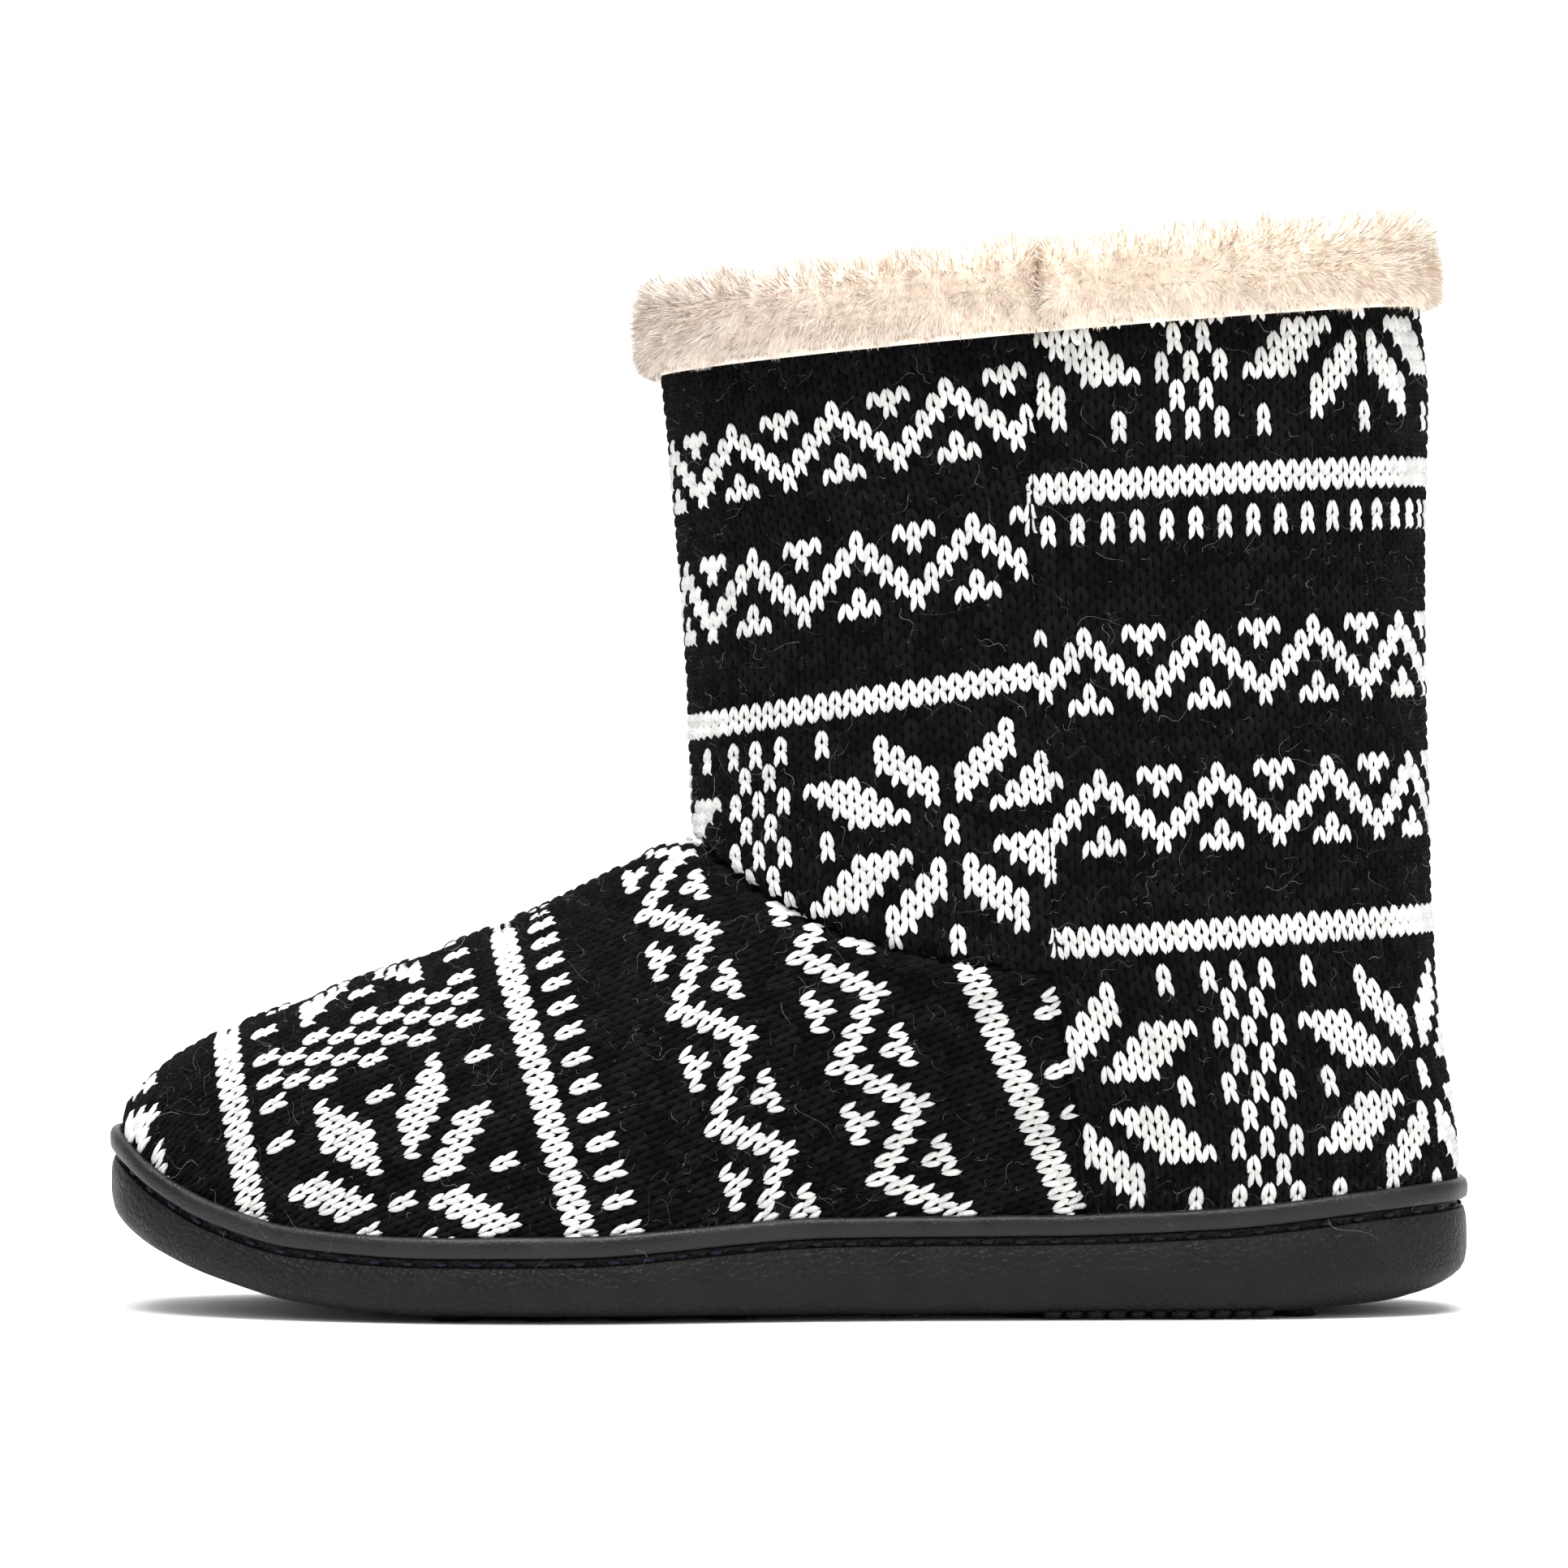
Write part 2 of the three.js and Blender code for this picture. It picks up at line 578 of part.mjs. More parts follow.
function cuff(first, last, seed) {
  const columns = cuffLength(first, last);
  const count = cuffRows.length;
  const positions = columns.flat().flatMap((p) => [p.x, p.y, p.z]);
  const faces = [];
  for (let k = 0; k < columns.length - 1; k++) {
    for (let i = 0; i < count; i++) {
      const j = (i + 1) % count;
      faces.push(k * count + i, (k + 1) * count + i, (k + 1) * count + j);
      faces.push(k * count + i, (k + 1) * count + j, k * count + j);
    }
  }
  const flat = cuffRows.map((row) => {
    const side = row.face === 'outer' ? 1 : -1;
    const wall = row.face === 'outer' ? 0 : -upperWall;
    const flap = row.face === 'outer' ? cuffFlap : cuffReach;
    const height = row.below === undefined ? row.above * cuffPile : -row.below * flap;
    return new THREE.Vector2(wall + side * (cuffClearance + row.pile * cuffPile), height);
  });
  const far = (columns.length - 1) * count;
  THREE.ShapeUtils.triangulateShape(flat, []).forEach(([a, b, c]) => {
    const turn = flat[b].clone().sub(flat[a]).cross(flat[c].clone().sub(flat[a]));
    const [p, q, r] = turn > 0 ? [a, b, c] : [a, c, b];
    faces.push(p, q, r);
    faces.push(far + p, far + r, far + q);
  });
  const body = solid(positions, faces);
  return locks(columns, seed).reduce((made, lock) => made.add(lock), body);
}

// Short locks of fur standing out of the cuff.
function locks(columns, seed) {
  const made = [];
  lockRows.forEach(({ section, lift }, row) => {
    const low = Math.floor(section);
    const path = columns.map((points) => points[low].clone().lerp(points[low + 1], section - low));
    const across = columns.map((points) => points[low + 1].clone().sub(points[low]).normalize());
    const reach = reachOf(path);
    const margin = lockMargin * lockWidth;
    const run = reach.at(-1) - 2 * margin;
    const count = Math.floor(run / lockPitch);
    for (let n = 0; n <= count; n++) {
      const key = seed + 31 * row + n;
      const shift = n === 0 || n === count ? 0 : lockShift * (wobble(key) - 0.5);
      const { k, share } = segmentAt(reach, margin + (run * (n + shift)) / count);
      const point = path[k].clone().lerp(path[k + 1], share);
      const along = path[k + 1].clone().sub(path[k]).normalize();
      const out = across[k].clone().cross(along).negate().normalize();
      const lean = along.clone().multiplyScalar(lockLean * (wobble(key + 7) - 0.5));
      const direction = out.clone().addScaledVector(across[k], lift).add(lean).normalize();
      const tall = lockLength * lerp(0.8, 1.2, wobble(key + 3));
      const lock = new THREE.ConeGeometry(0.5, tall, lockSides, 1);
      lock.scale(lockWidth * lerp(0.85, 1.15, wobble(key + 5)), 1, lockThickness);
      lock.translate(0, tall / 2 - lockRoot, 0);
      const facing = along.clone().cross(direction).normalize();
      lock.applyMatrix4(new THREE.Matrix4().makeBasis(direction.clone().cross(facing), direction, facing));
      lock.translate(point.x, point.y, point.z);
      made.push(solidOf(lock));
    }
  });
  return made;
}

const rubber = new THREE.MeshStandardMaterial({ color: 0x2b2a2c, roughness: 0.75, metalness: 0 });
const weltRubber = new THREE.MeshStandardMaterial({ color: 0x302e31, roughness: 0.5, metalness: 0 });
const knit = new THREE.MeshStandardMaterial({ color: 0x1b1b1c, roughness: 1, metalness: 0 });
const plush = new THREE.MeshStandardMaterial({ color: 0xe8d8c4, roughness: 1, metalness: 0 });
const fur = new THREE.MeshStandardMaterial({ color: 0xf0dcc4, roughness: 1, metalness: 0 });

const [innerSeam, outerSeam] = seamColumns;
const boot = new THREE.Group();
boot.add(meshOf('outsole', outsole(), rubber));
boot.add(meshOf('welt', welt(), weltRubber));
boot.add(meshOf('insole', insole(), plush));
boot.add(meshOf('upper', upper(), knit));
boot.add(meshOf('cuff_front', cuff(innerSeam, outerSeam, frontSeed), fur));
boot.add(meshOf('cuff_back', cuff(outerSeam, innerSeam + aroundColumns, backSeed), fur));

export default boot;
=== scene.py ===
"""Looks of a slipper boot: knitted upper, plush inside, faux-fur cuff and a rubber sole with a stitched welt.

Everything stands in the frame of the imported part: metres, +X to the toe, +Y to the outer side, +Z up.
"""
import math

import bpy
import numpy as np
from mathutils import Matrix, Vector


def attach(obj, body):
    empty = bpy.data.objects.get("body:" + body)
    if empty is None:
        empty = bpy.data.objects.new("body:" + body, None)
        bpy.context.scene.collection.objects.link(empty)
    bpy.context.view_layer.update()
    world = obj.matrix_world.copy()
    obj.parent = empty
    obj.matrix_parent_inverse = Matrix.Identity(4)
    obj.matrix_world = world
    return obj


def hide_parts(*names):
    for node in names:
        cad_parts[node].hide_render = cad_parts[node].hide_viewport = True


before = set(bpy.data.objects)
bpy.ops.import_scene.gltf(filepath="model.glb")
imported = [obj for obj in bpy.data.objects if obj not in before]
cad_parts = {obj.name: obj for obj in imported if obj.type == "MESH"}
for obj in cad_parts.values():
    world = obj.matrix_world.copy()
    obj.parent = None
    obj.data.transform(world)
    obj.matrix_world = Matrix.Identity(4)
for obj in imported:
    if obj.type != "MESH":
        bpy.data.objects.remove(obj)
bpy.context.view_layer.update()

bl_info = {
    "name": "Slipper boot looks",
    "version": (1, 0, 0),
    "blender": (4, 5, 0),
    "location": "3D View > Sidebar > Slipper",
    "description": "Knit, fur, plush and rubber over the slipper boot's CAD part",
    "category": "Object",
}

MM = 0.001

# Sizes of the part, in millimetres.
SOLE_LENGTH = 258.0
BALL_WIDTH = 98.0
HEEL_WIDTH = 72.0
FLANGE = 2.0
CLEARANCE = 0.3
HEEL_EDGE, BALL_EDGE, TOE_EDGE = 20.0, 10.5, 29.4
TOE_SPRING, HEEL_BEVEL, HEEL_ROUND = 16.0, 2.6, 6.0
TREAD_DEPTH, ARCH_RISE = 1.3, 2.4
CHANNEL_DEPTH, CHANNEL_HEIGHT = 1.2, 1.4
WELT_HEIGHT, WELT_THICKNESS = 4.3, 1.9
INSOLE_THICKNESS = 5.0
INSTEP_HEIGHT, ANKLE_HEIGHT = 89.5, 64.0
ANKLE_DEPTH, ANKLE_WIDTH = 140.5, 83.0
COLLAR_HEIGHT, COLLAR_DROP, COLLAR_WIDTH = 200.0, 12.6, 93.0
FRONT_LEAN, HEEL_TUCK = 6.0, 6.4
UPPER_WALL = 3.0
CREASE_DEPTH, CREASE_PUFF = 1.8, 0.9
SEAM_DEPTH, SEAM_WIDTH, SEAM_SWELL = 1.0, 1.5, 0.35
TREAD_PITCH, TREAD_INSET, TREAD_WIDTH = 17.0, 12.0, 8.0
TREAD_STARTS, TREAD_BARS = (0.13, 0.545), 4
STITCH_PITCH, STITCH_LENGTH = 6.4, 2.176
CUFF_FLAP, CUFF_REACH, CUFF_PILE, CUFF_CLEARANCE = 9.8, 21.0, 4.7, 0.42
# The fur's body lies COAT_DEPTH under the solid's face, and its top is drawn up by CUFF_LIFT.
COAT_DEPTH, CUFF_LIFT, STRAND_LENGTH, STRAND_WIDTH = 1.3, 3.0, (2.4, 4.2), 0.2
HEEL_X, TOE_X = -SOLE_LENGTH / 2, SOLE_LENGTH / 2
CREASE_LEVEL, TOP_LEVEL = 9.0, 15.0

# at, heel, ball, drift
OUTLINE = np.array([
    (0.0, 0.94, 0.0, 0.0), (0.12, 0.98, 0.0, 0.0), (0.26, 0.78, 0.14, 0.012), (0.42, 0.35, 0.42, 0.052),
    (0.55, 0.08, 0.75, 0.042), (0.66, 0.0, 0.95, 0.02), (0.75, 0.0, 0.99, 0.0), (0.85, 0.0, 0.94, -0.02),
    (0.93, 0.0, 0.86, -0.037), (1.0, 0.0, 0.78, -0.05)])
# at, heelTop, toeTop, spring, bevel, arch
SOLE_LINE = np.array([
    (0.0, 1.0, 0.0, 0.0, 1.0, 0.0), (0.06, 0.86, 0.0, 0.0, 0.5, 0.0), (0.18, 0.52, 0.0, 0.0, 0.0, 0.0),
    (0.3, 0.4, 0.0, 0.0, 0.0, 0.7), (0.47, 0.37, 0.0, 0.0, 0.0, 1.0), (0.66, 0.02, 0.0, 0.0, 0.0, 0.0),
    (0.76, 0.0, 0.0, 0.0, 0.0, 0.0), (0.86, 0.0, 0.08, 0.13, 0.0, 0.0), (0.92, 0.0, 0.29, 0.37, 0.0, 0.0),
    (0.965, 0.0, 0.6, 0.66, 0.0, 0.0), (1.0, 0.0, 1.0, 1.0, 0.0, 0.0)])
# at, ahead, lean, frontRise, backRise, tuck, bow, foot, width, frontRound, backRound
RINGS = np.array([
    (0, 1.0, 0, 0.0, 0.0, 0.0, 1.0, 1.0, 0.0, 3.7, 3.0),
    (1, 1.0, 0, 0.068, 0.094, 0.0, 1.0, 1.0, 0.0, 3.7, 3.0),
    (2, 0.988, 0, 0.136, 0.24, 0.05, 1.3, 0.87, 0.0, 3.6, 2.95),
    (3, 0.938, 0, 0.242, 0.38, 0.15, 1.7, 0.68, 0.0, 3.4, 2.9),
    (4, 0.853, 0, 0.347, 0.52, 0.28, 2.3, 0.48, 0.0, 3.1, 2.8),
    (5, 0.68, 0, 0.479, 0.65, 0.42, 3.0, 0.3, 0.0, 2.8, 2.7),
    (6, 0.452, 0, 0.637, 0.77, 0.53, 3.8, 0.16, 0.0, 2.6, 2.6),
    (7, 0.224, 0, 0.816, 0.87, 0.61, 4.5, 0.06, 0.0, 2.4, 2.5),
    (8, 0.072, 0, 0.952, 0.95, 0.68, 5.0, 0.01, 0.0, 2.28, 2.45),
    (9, 0.0, 0, 1.0, 1.0, 0.7, 5.2, 0.0, 0.0, 2.2, 2.4),
    (10, 0.0, 0.03, 1.055, 1.09, 0.77, 4.2, 0.0, 0.05, 2.2, 2.4),
    (11, 0.0, 0.1, 1.244, 1.28, 0.92, 2.6, 0.0, 0.22, 2.25, 2.35),
    (12, 0.0, 0.42, 1.55, 1.57, 1.0, 1.5, 0.0, 0.58, 2.25, 2.3),
    (13, 0.0, 0.75, 1.78, 1.79, 0.92, 1.1, 0.0, 0.85, 2.25, 2.3),
    (14, 0.0, 0.95, 1.9, 1.91, 1.14, 1.0, 0.0, 0.96, 2.25, 2.3),
    (15, 0.0, 1.0, 2.0, 2.0, 1.45, 1.0, 0.0, 1.0, 2.25, 2.3)])
# height, place along the sole of the side seams, in mm
SEAM = np.array([(20.0, -55.0), (35.0, -53.6), (70.0, -49.4), (90.0, -48.7), (118.0, -46.2), (154.0, -44.8),
                 (180.0, -45.3), (200.0, -46.0)])
# out (share of the flange past the upper), up (share of the side's height under the channel)
SOLE_SIDE = np.array([(-1.5, 0.0), (-0.2, 0.08), (0.72, 0.3), (1.0, 0.58), (0.96, 0.86), (0.7, 1.0)])
SOLE_STEPS = (0.0, 0.02, 0.05, 0.08, 0.13, 0.2, 0.28, 0.36, 0.44, 0.52, 0.6, 0.68, 0.76, 0.84, 0.91, 0.96,
              0.99, 1.0)
# out (share of the welt's thickness), up (share of its height)
WELT_SECTION = np.array([(0.62, 0.0), (0.92, 0.08), (1.0, 0.26), (1.03, 0.5), (1.0, 0.7), (0.86, 0.87),
                         (0.6, 0.97), (0.3, 1.0), (0.0, 0.97), (0.0, 0.5), (0.0, 0.0)])
# further in than the clearance, in mm, up (share of the insole's thickness)
INSOLE_SECTION = ((1.0, 0.0), (0.4, 0.08), (0.2, 0.25), (0.3, 0.5), (0.8, 0.75), (1.6, 0.92), (2.6, 1.0))
# The cuff's section: side of the wall (1 outer, -1 inner), share of the pile, and height as a share of the
# pile above the wall's edge (positive) or of that side's flap below it (negative)
CUFF_SECTION = np.array([(1, 0.0, -1.0), (1, 0.55, -1.07), (1, 0.94, -0.8), (1, 1.0, -0.4), (1, 0.86, 0.3),
                         (1, 0.3, 0.88), (-1, 0.2, 0.92), (-1, 0.86, 0.3), (-1, 1.0, -0.4), (-1, 0.8, -0.86),
                         (-1, 0.0, -1.0), (-1, 0.0, 0.0), (1, 0.0, 0.0)])


# Surface functions.
def column(table, index):
    """A smooth curve through one column of a table, with no overshoot between its rows."""
    x, y = table[:, 0], table[:, index]
    slope = np.diff(y) / np.diff(x)
    product = slope[:-1] * slope[1:]
    total = np.where(product > 0, slope[:-1] + slope[1:], 1.0)
    inner = np.where(product > 0, 2 * product / total, 0.0)
    tangent = np.concatenate([slope[:1], inner, slope[-1:]])

    def curve(at):
        t = np.clip(at, x[0], x[-1])
        i = np.clip(np.searchsorted(x, t, side="right") - 1, 0, len(x) - 2)
        span = x[i + 1] - x[i]
        u = (t - x[i]) / span
        bend = u * u * (3 - 2 * u)
        start, end = u * (1 - u) ** 2, u * u * (1 - u)
        return y[i] + (y[i + 1] - y[i]) * bend + span * (tangent[i] * start - tangent[i + 1] * end)

    return curve


seam_x = column(SEAM, 1)
outline = {name: column(OUTLINE, k + 1) for k, name in enumerate(("heel", "ball", "drift"))}
sole_line = {name: column(SOLE_LINE, k + 1)
             for k, name in enumerate(("heelTop", "toeTop", "spring", "bevel", "arch"))}
RING_KEYS = ("ahead", "lean", "frontRise", "backRise", "tuck", "bow", "foot", "width", "frontRound",
             "backRound")
ring_shape = {name: column(RINGS, k + 1) for k, name in enumerate(RING_KEYS)}


def mix(a, b, t):
    return a + (b - a) * t


def smoothstep(x, low, high):
    t = np.clip((x - low) / (high - low), 0, 1)
    return t * t * (3 - 2 * t)


def bump_at(x, centre, width):
    return np.exp(-(((x - centre) / width) ** 2))


def share_along(x):
    return np.clip((x - HEEL_X) / SOLE_LENGTH, 0, 1)


def sole_half(s):
    return (outline["heel"](s) * HEEL_WIDTH + outline["ball"](s) * BALL_WIDTH) / 2


def sole_drift(s):
    return outline["drift"](s) * BALL_WIDTH


def underside_z(s):
    return TREAD_DEPTH + sole_line["spring"](s) * TOE_SPRING + sole_line["bevel"](s) * HEEL_BEVEL


def edge_z(s):
    rise = (HEEL_EDGE - BALL_EDGE) * sole_line["heelTop"](s) + (TOE_EDGE - BALL_EDGE) * sole_line["toeTop"](s)
    return TREAD_DEPTH + BALL_EDGE + rise


EDGE_HEEL, EDGE_TOE = float(edge_z(0.0)), float(edge_z(1.0))


def plain_surface(level, turn):
    """Points of the upper's outer face in mm.

    turn runs from 0 at the back over the outer side to 0.5 at the front and over the inner side back to 1.
    """
    level, turn = np.broadcast_arrays(np.asarray(level, float), np.asarray(turn, float))
    shape = {name: curve(level) for name, curve in ring_shape.items()}
    ankle_back = HEEL_X + FLANGE + HEEL_TUCK * float(ring_shape["tuck"](CREASE_LEVEL))
    shaft_front = ankle_back + ANKLE_DEPTH
    back = HEEL_X + FLANGE + shape["tuck"] * HEEL_TUCK
    front = mix(shaft_front, TOE_X - FLANGE, shape["ahead"]) + shape["lean"] * FRONT_LEAN

    def between(stops, rise):
        low = mix(stops[0], stops[1], rise)
        return np.where(rise <= 1, low, mix(stops[1], stops[2], rise - 1))

    front_z = between((EDGE_TOE + CLEARANCE, INSTEP_HEIGHT, COLLAR_HEIGHT - COLLAR_DROP), shape["frontRise"])
    back_z = between((EDGE_HEEL + CLEARANCE, ANKLE_HEIGHT, COLLAR_HEIGHT), shape["backRise"])
    along = -np.cos(2 * np.pi * turn)
    side = np.where(turn % 1 < 0.5, 1.0, -1.0)
    middle = ankle_back + ANKLE_DEPTH / 2
    x = middle + along * np.where(along > 0, front - middle, middle - back)
    power = np.where(along > 0, shape["frontRound"], shape["backRound"])
    cap = np.maximum(0, 1 - np.abs(along) ** power) ** (1 / power)
    s = share_along(x)
    half = mix(mix(ANKLE_WIDTH, COLLAR_WIDTH, shape["width"]) / 2, sole_half(s) - FLANGE, shape["foot"]) * cap
    y = sole_drift(s) * shape["foot"] + side * half
    t = np.clip((x - back) / (front - back), 0, 1)
    sag = edge_z(t) - mix(EDGE_HEEL, EDGE_TOE, t)
    z = mix(back_z, front_z, t ** shape["bow"]) + shape["foot"] * sag
    return np.stack([x, y, z], -1)


def normals_on(grid):
    """Unit normals of a grid of points, rows along the first axis, pointing out of the upper."""
    rows = np.gradient(grid, axis=0)
    columns = np.gradient(grid, axis=1)
    normal = np.cross(rows, columns)
    return normal / np.maximum(np.linalg.norm(normal, axis=-1, keepdims=True), 1e-9)


# Folds: centre x, centre z, half length along, half width across, slope, depth in mm
FOLDS = (
    (-30.0, 58.0, 26.0, 4.5, 0.25, -0.9),
    (-34.0, 44.0, 24.0, 6.0, 0.3, 0.5),
    (6.0, 98.0, 16.0, 4.0, -0.4, -0.6),
    (-80.0, 84.0, 34.0, 7.0, 0.12, -0.8),
    (-86.0, 100.0, 30.0, 8.0, 0.1, 0.5),
    (-96.0, 47.0, 24.0, 6.0, -0.15, -0.6),
    (62.0, 50.0, 22.0, 7.0, -0.5, -0.5),
    (-12.0, 150.0, 30.0, 12.0, 0.2, 0.5),
)


def relief(points, level):
    """How far the upper's face stands off its plain form: crease, swell below it, side seams, soft folds."""
    x, y, z = points[..., 0], points[..., 1], points[..., 2]
    ahead = smoothstep(x - seam_x(z), 0, ANKLE_DEPTH * 0.12)
    crease = -CREASE_DEPTH * bump_at(level, CREASE_LEVEL, 0.2)
    swell = CREASE_PUFF * bump_at(level, CREASE_LEVEL - 0.9, 0.55)
    seam = (SEAM_SWELL * bump_at(np.abs(x - seam_x(z)), 4.0, 2.2)
            - SEAM_DEPTH * bump_at(x - seam_x(z), 0, SEAM_WIDTH))
    total = ahead * (crease + swell) + seam
    side = np.where(y > 0, 1.0, 0.85)
    for fx, fz, length, width, slope, depth in FOLDS:
        dx, dz = x - fx, z - fz
        scale = math.hypot(1, slope)
        run, across = (dx + slope * dz) / scale, (dz - slope * dx) / scale
        total = total + side * depth * bump_at(run, 0, length) * bump_at(across, 0, width)
    return total


def upper_grid(levels, turns, offset=0.0):
    """The upper's face with its relief on a grid of levels and turns, moved out by offset."""
    level, turn = np.meshgrid(levels, turns, indexing="ij")
    points = plain_surface(level, turn)
    normal = normals_on(points)
    return points + normal * (relief(points, level) + offset)[..., None], normal


def even_turns(level, count):
    """Turns that stand at even distances around one ring."""
    turn = np.linspace(0, 1, 1441)
    path = plain_surface(np.full_like(turn, level), turn)
    reach = np.concatenate([[0], np.cumsum(np.linalg.norm(np.diff(path, axis=0), axis=1))])
    return np.interp(np.linspace(0, reach[-1], count, endpoint=False), reach, turn)


def lasted_edge(count):
    """Points where the upper meets the sole and the outward directions there."""
    points = plain_surface(np.zeros(count), even_turns(0.0, count))
    around = np.roll(points, -1, axis=0) - np.roll(points, 1, axis=0)
    out = np.stack([-around[:, 1], around[:, 0], np.zeros(count)], -1)
    return points, out / np.linalg.norm(out, axis=1, keepdims=True)


# Mesh helpers.
def wobble(points, scale, seed):
    """Smooth repeatable noise between -1 and 1 at points given in mm."""
    rng = np.random.default_rng(seed)
    total = np.zeros(points.shape[:-1])
    for k in range(5):
        direction = rng.normal(size=3)
        direction *= (1 + 0.35 * k) / (scale * np.linalg.norm(direction))
        total += np.sin(points @ direction * 2 * np.pi + rng.uniform(0, 6.28)) / (1 + 0.35 * k)
    return total / 2.6


def make_object(name, points, faces, materials, face_material=None, smooth=True):
    """A mesh object at the origin from points in mm and one array of triangles or quads."""
    mesh = bpy.data.meshes.new(name)
    points = np.asarray(points, np.float32).reshape(-1, 3) * MM
    faces = np.asarray(faces, np.int32)
    mesh.vertices.add(len(points))
    mesh.vertices.foreach_set("co", points.ravel())
    size = faces.shape[1]
    mesh.loops.add(faces.size)
    mesh.loops.foreach_set("vertex_index", faces.ravel())
    mesh.polygons.add(len(faces))
    mesh.polygons.foreach_set("loop_start", np.arange(0, faces.size, size, dtype=np.int32))
    mesh.polygons.foreach_set("use_smooth", np.full(len(faces), smooth))
    if face_material is not None:
        mesh.polygons.foreach_set("material_index", np.asarray(face_material, np.int32))
    for material in materials:
        mesh.materials.append(material)
    mesh.update(calc_edges=True)
    mesh.validate()
    made = bpy.data.objects.new(name, mesh)
    bpy.context.scene.collection.objects.link(made)
    return made


def grid_faces(rows, columns, start=0, closed_columns=False, closed_rows=False, flip=False):
    """Quads over a grid of points numbered row by row."""
    i, j = np.meshgrid(np.arange(rows if closed_rows else rows - 1),
                       np.arange(columns if closed_columns else columns - 1), indexing="ij")
    i2, j2 = (i + 1) % rows, (j + 1) % columns
    quads = np.stack([i * columns + j, i * columns + j2, i2 * columns + j2, i2 * columns + j], -1)
    quads = quads.reshape(-1, 4)
    return (quads[:, ::-1] if flip else quads) + start


def strip_cap(start, count, flip=False):
    """Quads that close a ring from side to side; the ring starts at the back."""
    i = np.arange(0, count // 2)
    quads = np.stack([i, i + 1, (count - i - 1) % count, (count - i) % count], -1) + start
    return quads[:, ::-1] if flip else quads


def set_uv(obj, values):
    layer = obj.data.uv_layers.new(name="yarn")
    corner = np.zeros(len(obj.data.loops), np.int32)
    obj.data.loops.foreach_get("vertex_index", corner)
    layer.data.foreach_set("uv", np.asarray(values, np.float32)[corner].ravel())


def set_tone(obj, values):
    attribute = obj.data.attributes.new("tone", "FLOAT", "POINT")
    attribute.data.foreach_set("value", np.asarray(values, np.float32))


# Knitting. Rows are counted down the shaft and, on the vamp, from the toe to the heel; row 0 is the stripe
# near the back panel's top. A star stands in the middle at wale 0 of each repeat of 26.
ROW_REPEAT, WALE_REPEAT = 55, 26
ZIGZAG = ("#..#..##", "..###..#", ".##.##..", "##...##.", "#..#..##", "..###..#")
WALE_PITCH = 2.76
GRID_STEP = 3
VAMP_SPAN = (-38, 50)
VAMP_HEIGHT = 50
OVER_RIDGE = 8
SEAM_MARGIN = 0.35

# row: height in mm at the middle of the front panel, tilt towards the back
FRONT_ROWS = np.array([(4, 189.3, 0.15), (11, 172.4, 0.2), (21, 147.3, 0.153), (32, 118.1, 0.149),
                       (43.5, 91.0, 0.142), (62, 43.0, 0.138)])
# row: distance in mm of wale 3 from the side seam, width of a wale
FRONT_WALES = np.array([(4, 20.3, 2.75), (11, 17.3, 2.775), (21, 11.3, 2.775), (32, 9.9, 2.9),
                        (43.5, 9.6, 3.04), (52, 9.2, 3.04)])
# row: distance in mm of wale -13 from the middle of the back
BACK_WALES = np.array([(-4, 70.9), (11, 67.3), (21, 64.3), (35, 61.2), (51, 55.5)])
# row: place along the sole at 50 mm height, slant, width of a wale
VAMP_ROWS = np.array([(-36, 141.0, 0.14, 2.6), (-22, 106.2, 0.187, 2.62), (-12, 81.0, 0.23, 2.67),
                      (1, 48.3, 0.284, 2.8), (11, 20.8, 0.34, 2.9), (21, -5.5, 0.36, 2.78),
                      (33, -40.0, 0.42, 2.8), (50, -88.0, 0.48, 2.8)])
# row: wale at the ridge, for the rows that cross it
RIDGE_WALES = np.array([(-36, -25.4), (-22, -24.9), (-12, -24.2), (1, -23.0), (11, -22.0), (17.3, -21.5)])
# row: wale at the sole's edge, for the rows that start at the crease
EDGE_WALES = np.array([(17.3, 12.9), (21, 14.5), (33, 18.8), (50, 24.0)])


def star(row, wale):
    """White stitches of the star band, 18 rows high; wales are counted from the star's middle."""
    w = (wale + 13) % WALE_REPEAT - 13
    near = np.abs(w)
    tier = row // 2
    checker = (np.abs(near - 13) <= 2) & ((tier + near - 13) % 2 == 0)
    up = np.where(row < 8.5, row, 17 - row)
    upright = (near >= 1) & (near <= 4) & (up >= 5 - near) & (up <= 7 - near)
    lying = (up >= 4) & (up <= 7) & (near >= 10 - up) & (near <= 13 - up)
    dots = (near == 8) & np.isin(tier, (0, 4, 8)) | (w == 0) & np.isin(tier, (4, 8))
    return checker | upright | lying | dots


def pattern(row, wale):
    """True where a stitch is white."""
    r = row % ROW_REPEAT
    zigzag = np.array([[mark == "#" for mark in line] for line in ZIGZAG])
    column_of = wale % 8
    white = np.isin(r, (0, 1, 32, 33))
    white = white | np.isin(r, (3, 4)) & (wale % 2 == 1)
    for first in (11, 21):
        inside = (r >= first) & (r < first + 6)
        white = white | inside & zigzag[np.clip(r - first, 0, 5), column_of]
    inside = (r >= 35) & (r < 53)
    return white | inside & star(r - 35, wale)


def ring_paths(levels, turns):
    """The plain and the relieved face over levels and turns."""
    level, turn = np.meshgrid(levels, turns, indexing="ij")
    plain = plain_surface(level, turn)
    return plain, plain + normals_on(plain) * relief(plain, level)[..., None]


def resample(values, reach, targets):
    """Values along each row at the target distances; reach holds each row's own distances."""
    out = np.empty(targets.shape + values.shape[2:])
    for k, axis in np.ndindex(len(values), values.shape[2]):
        out[k, :, axis] = np.interp(targets[k], reach[k], values[k, :, axis])
    return out


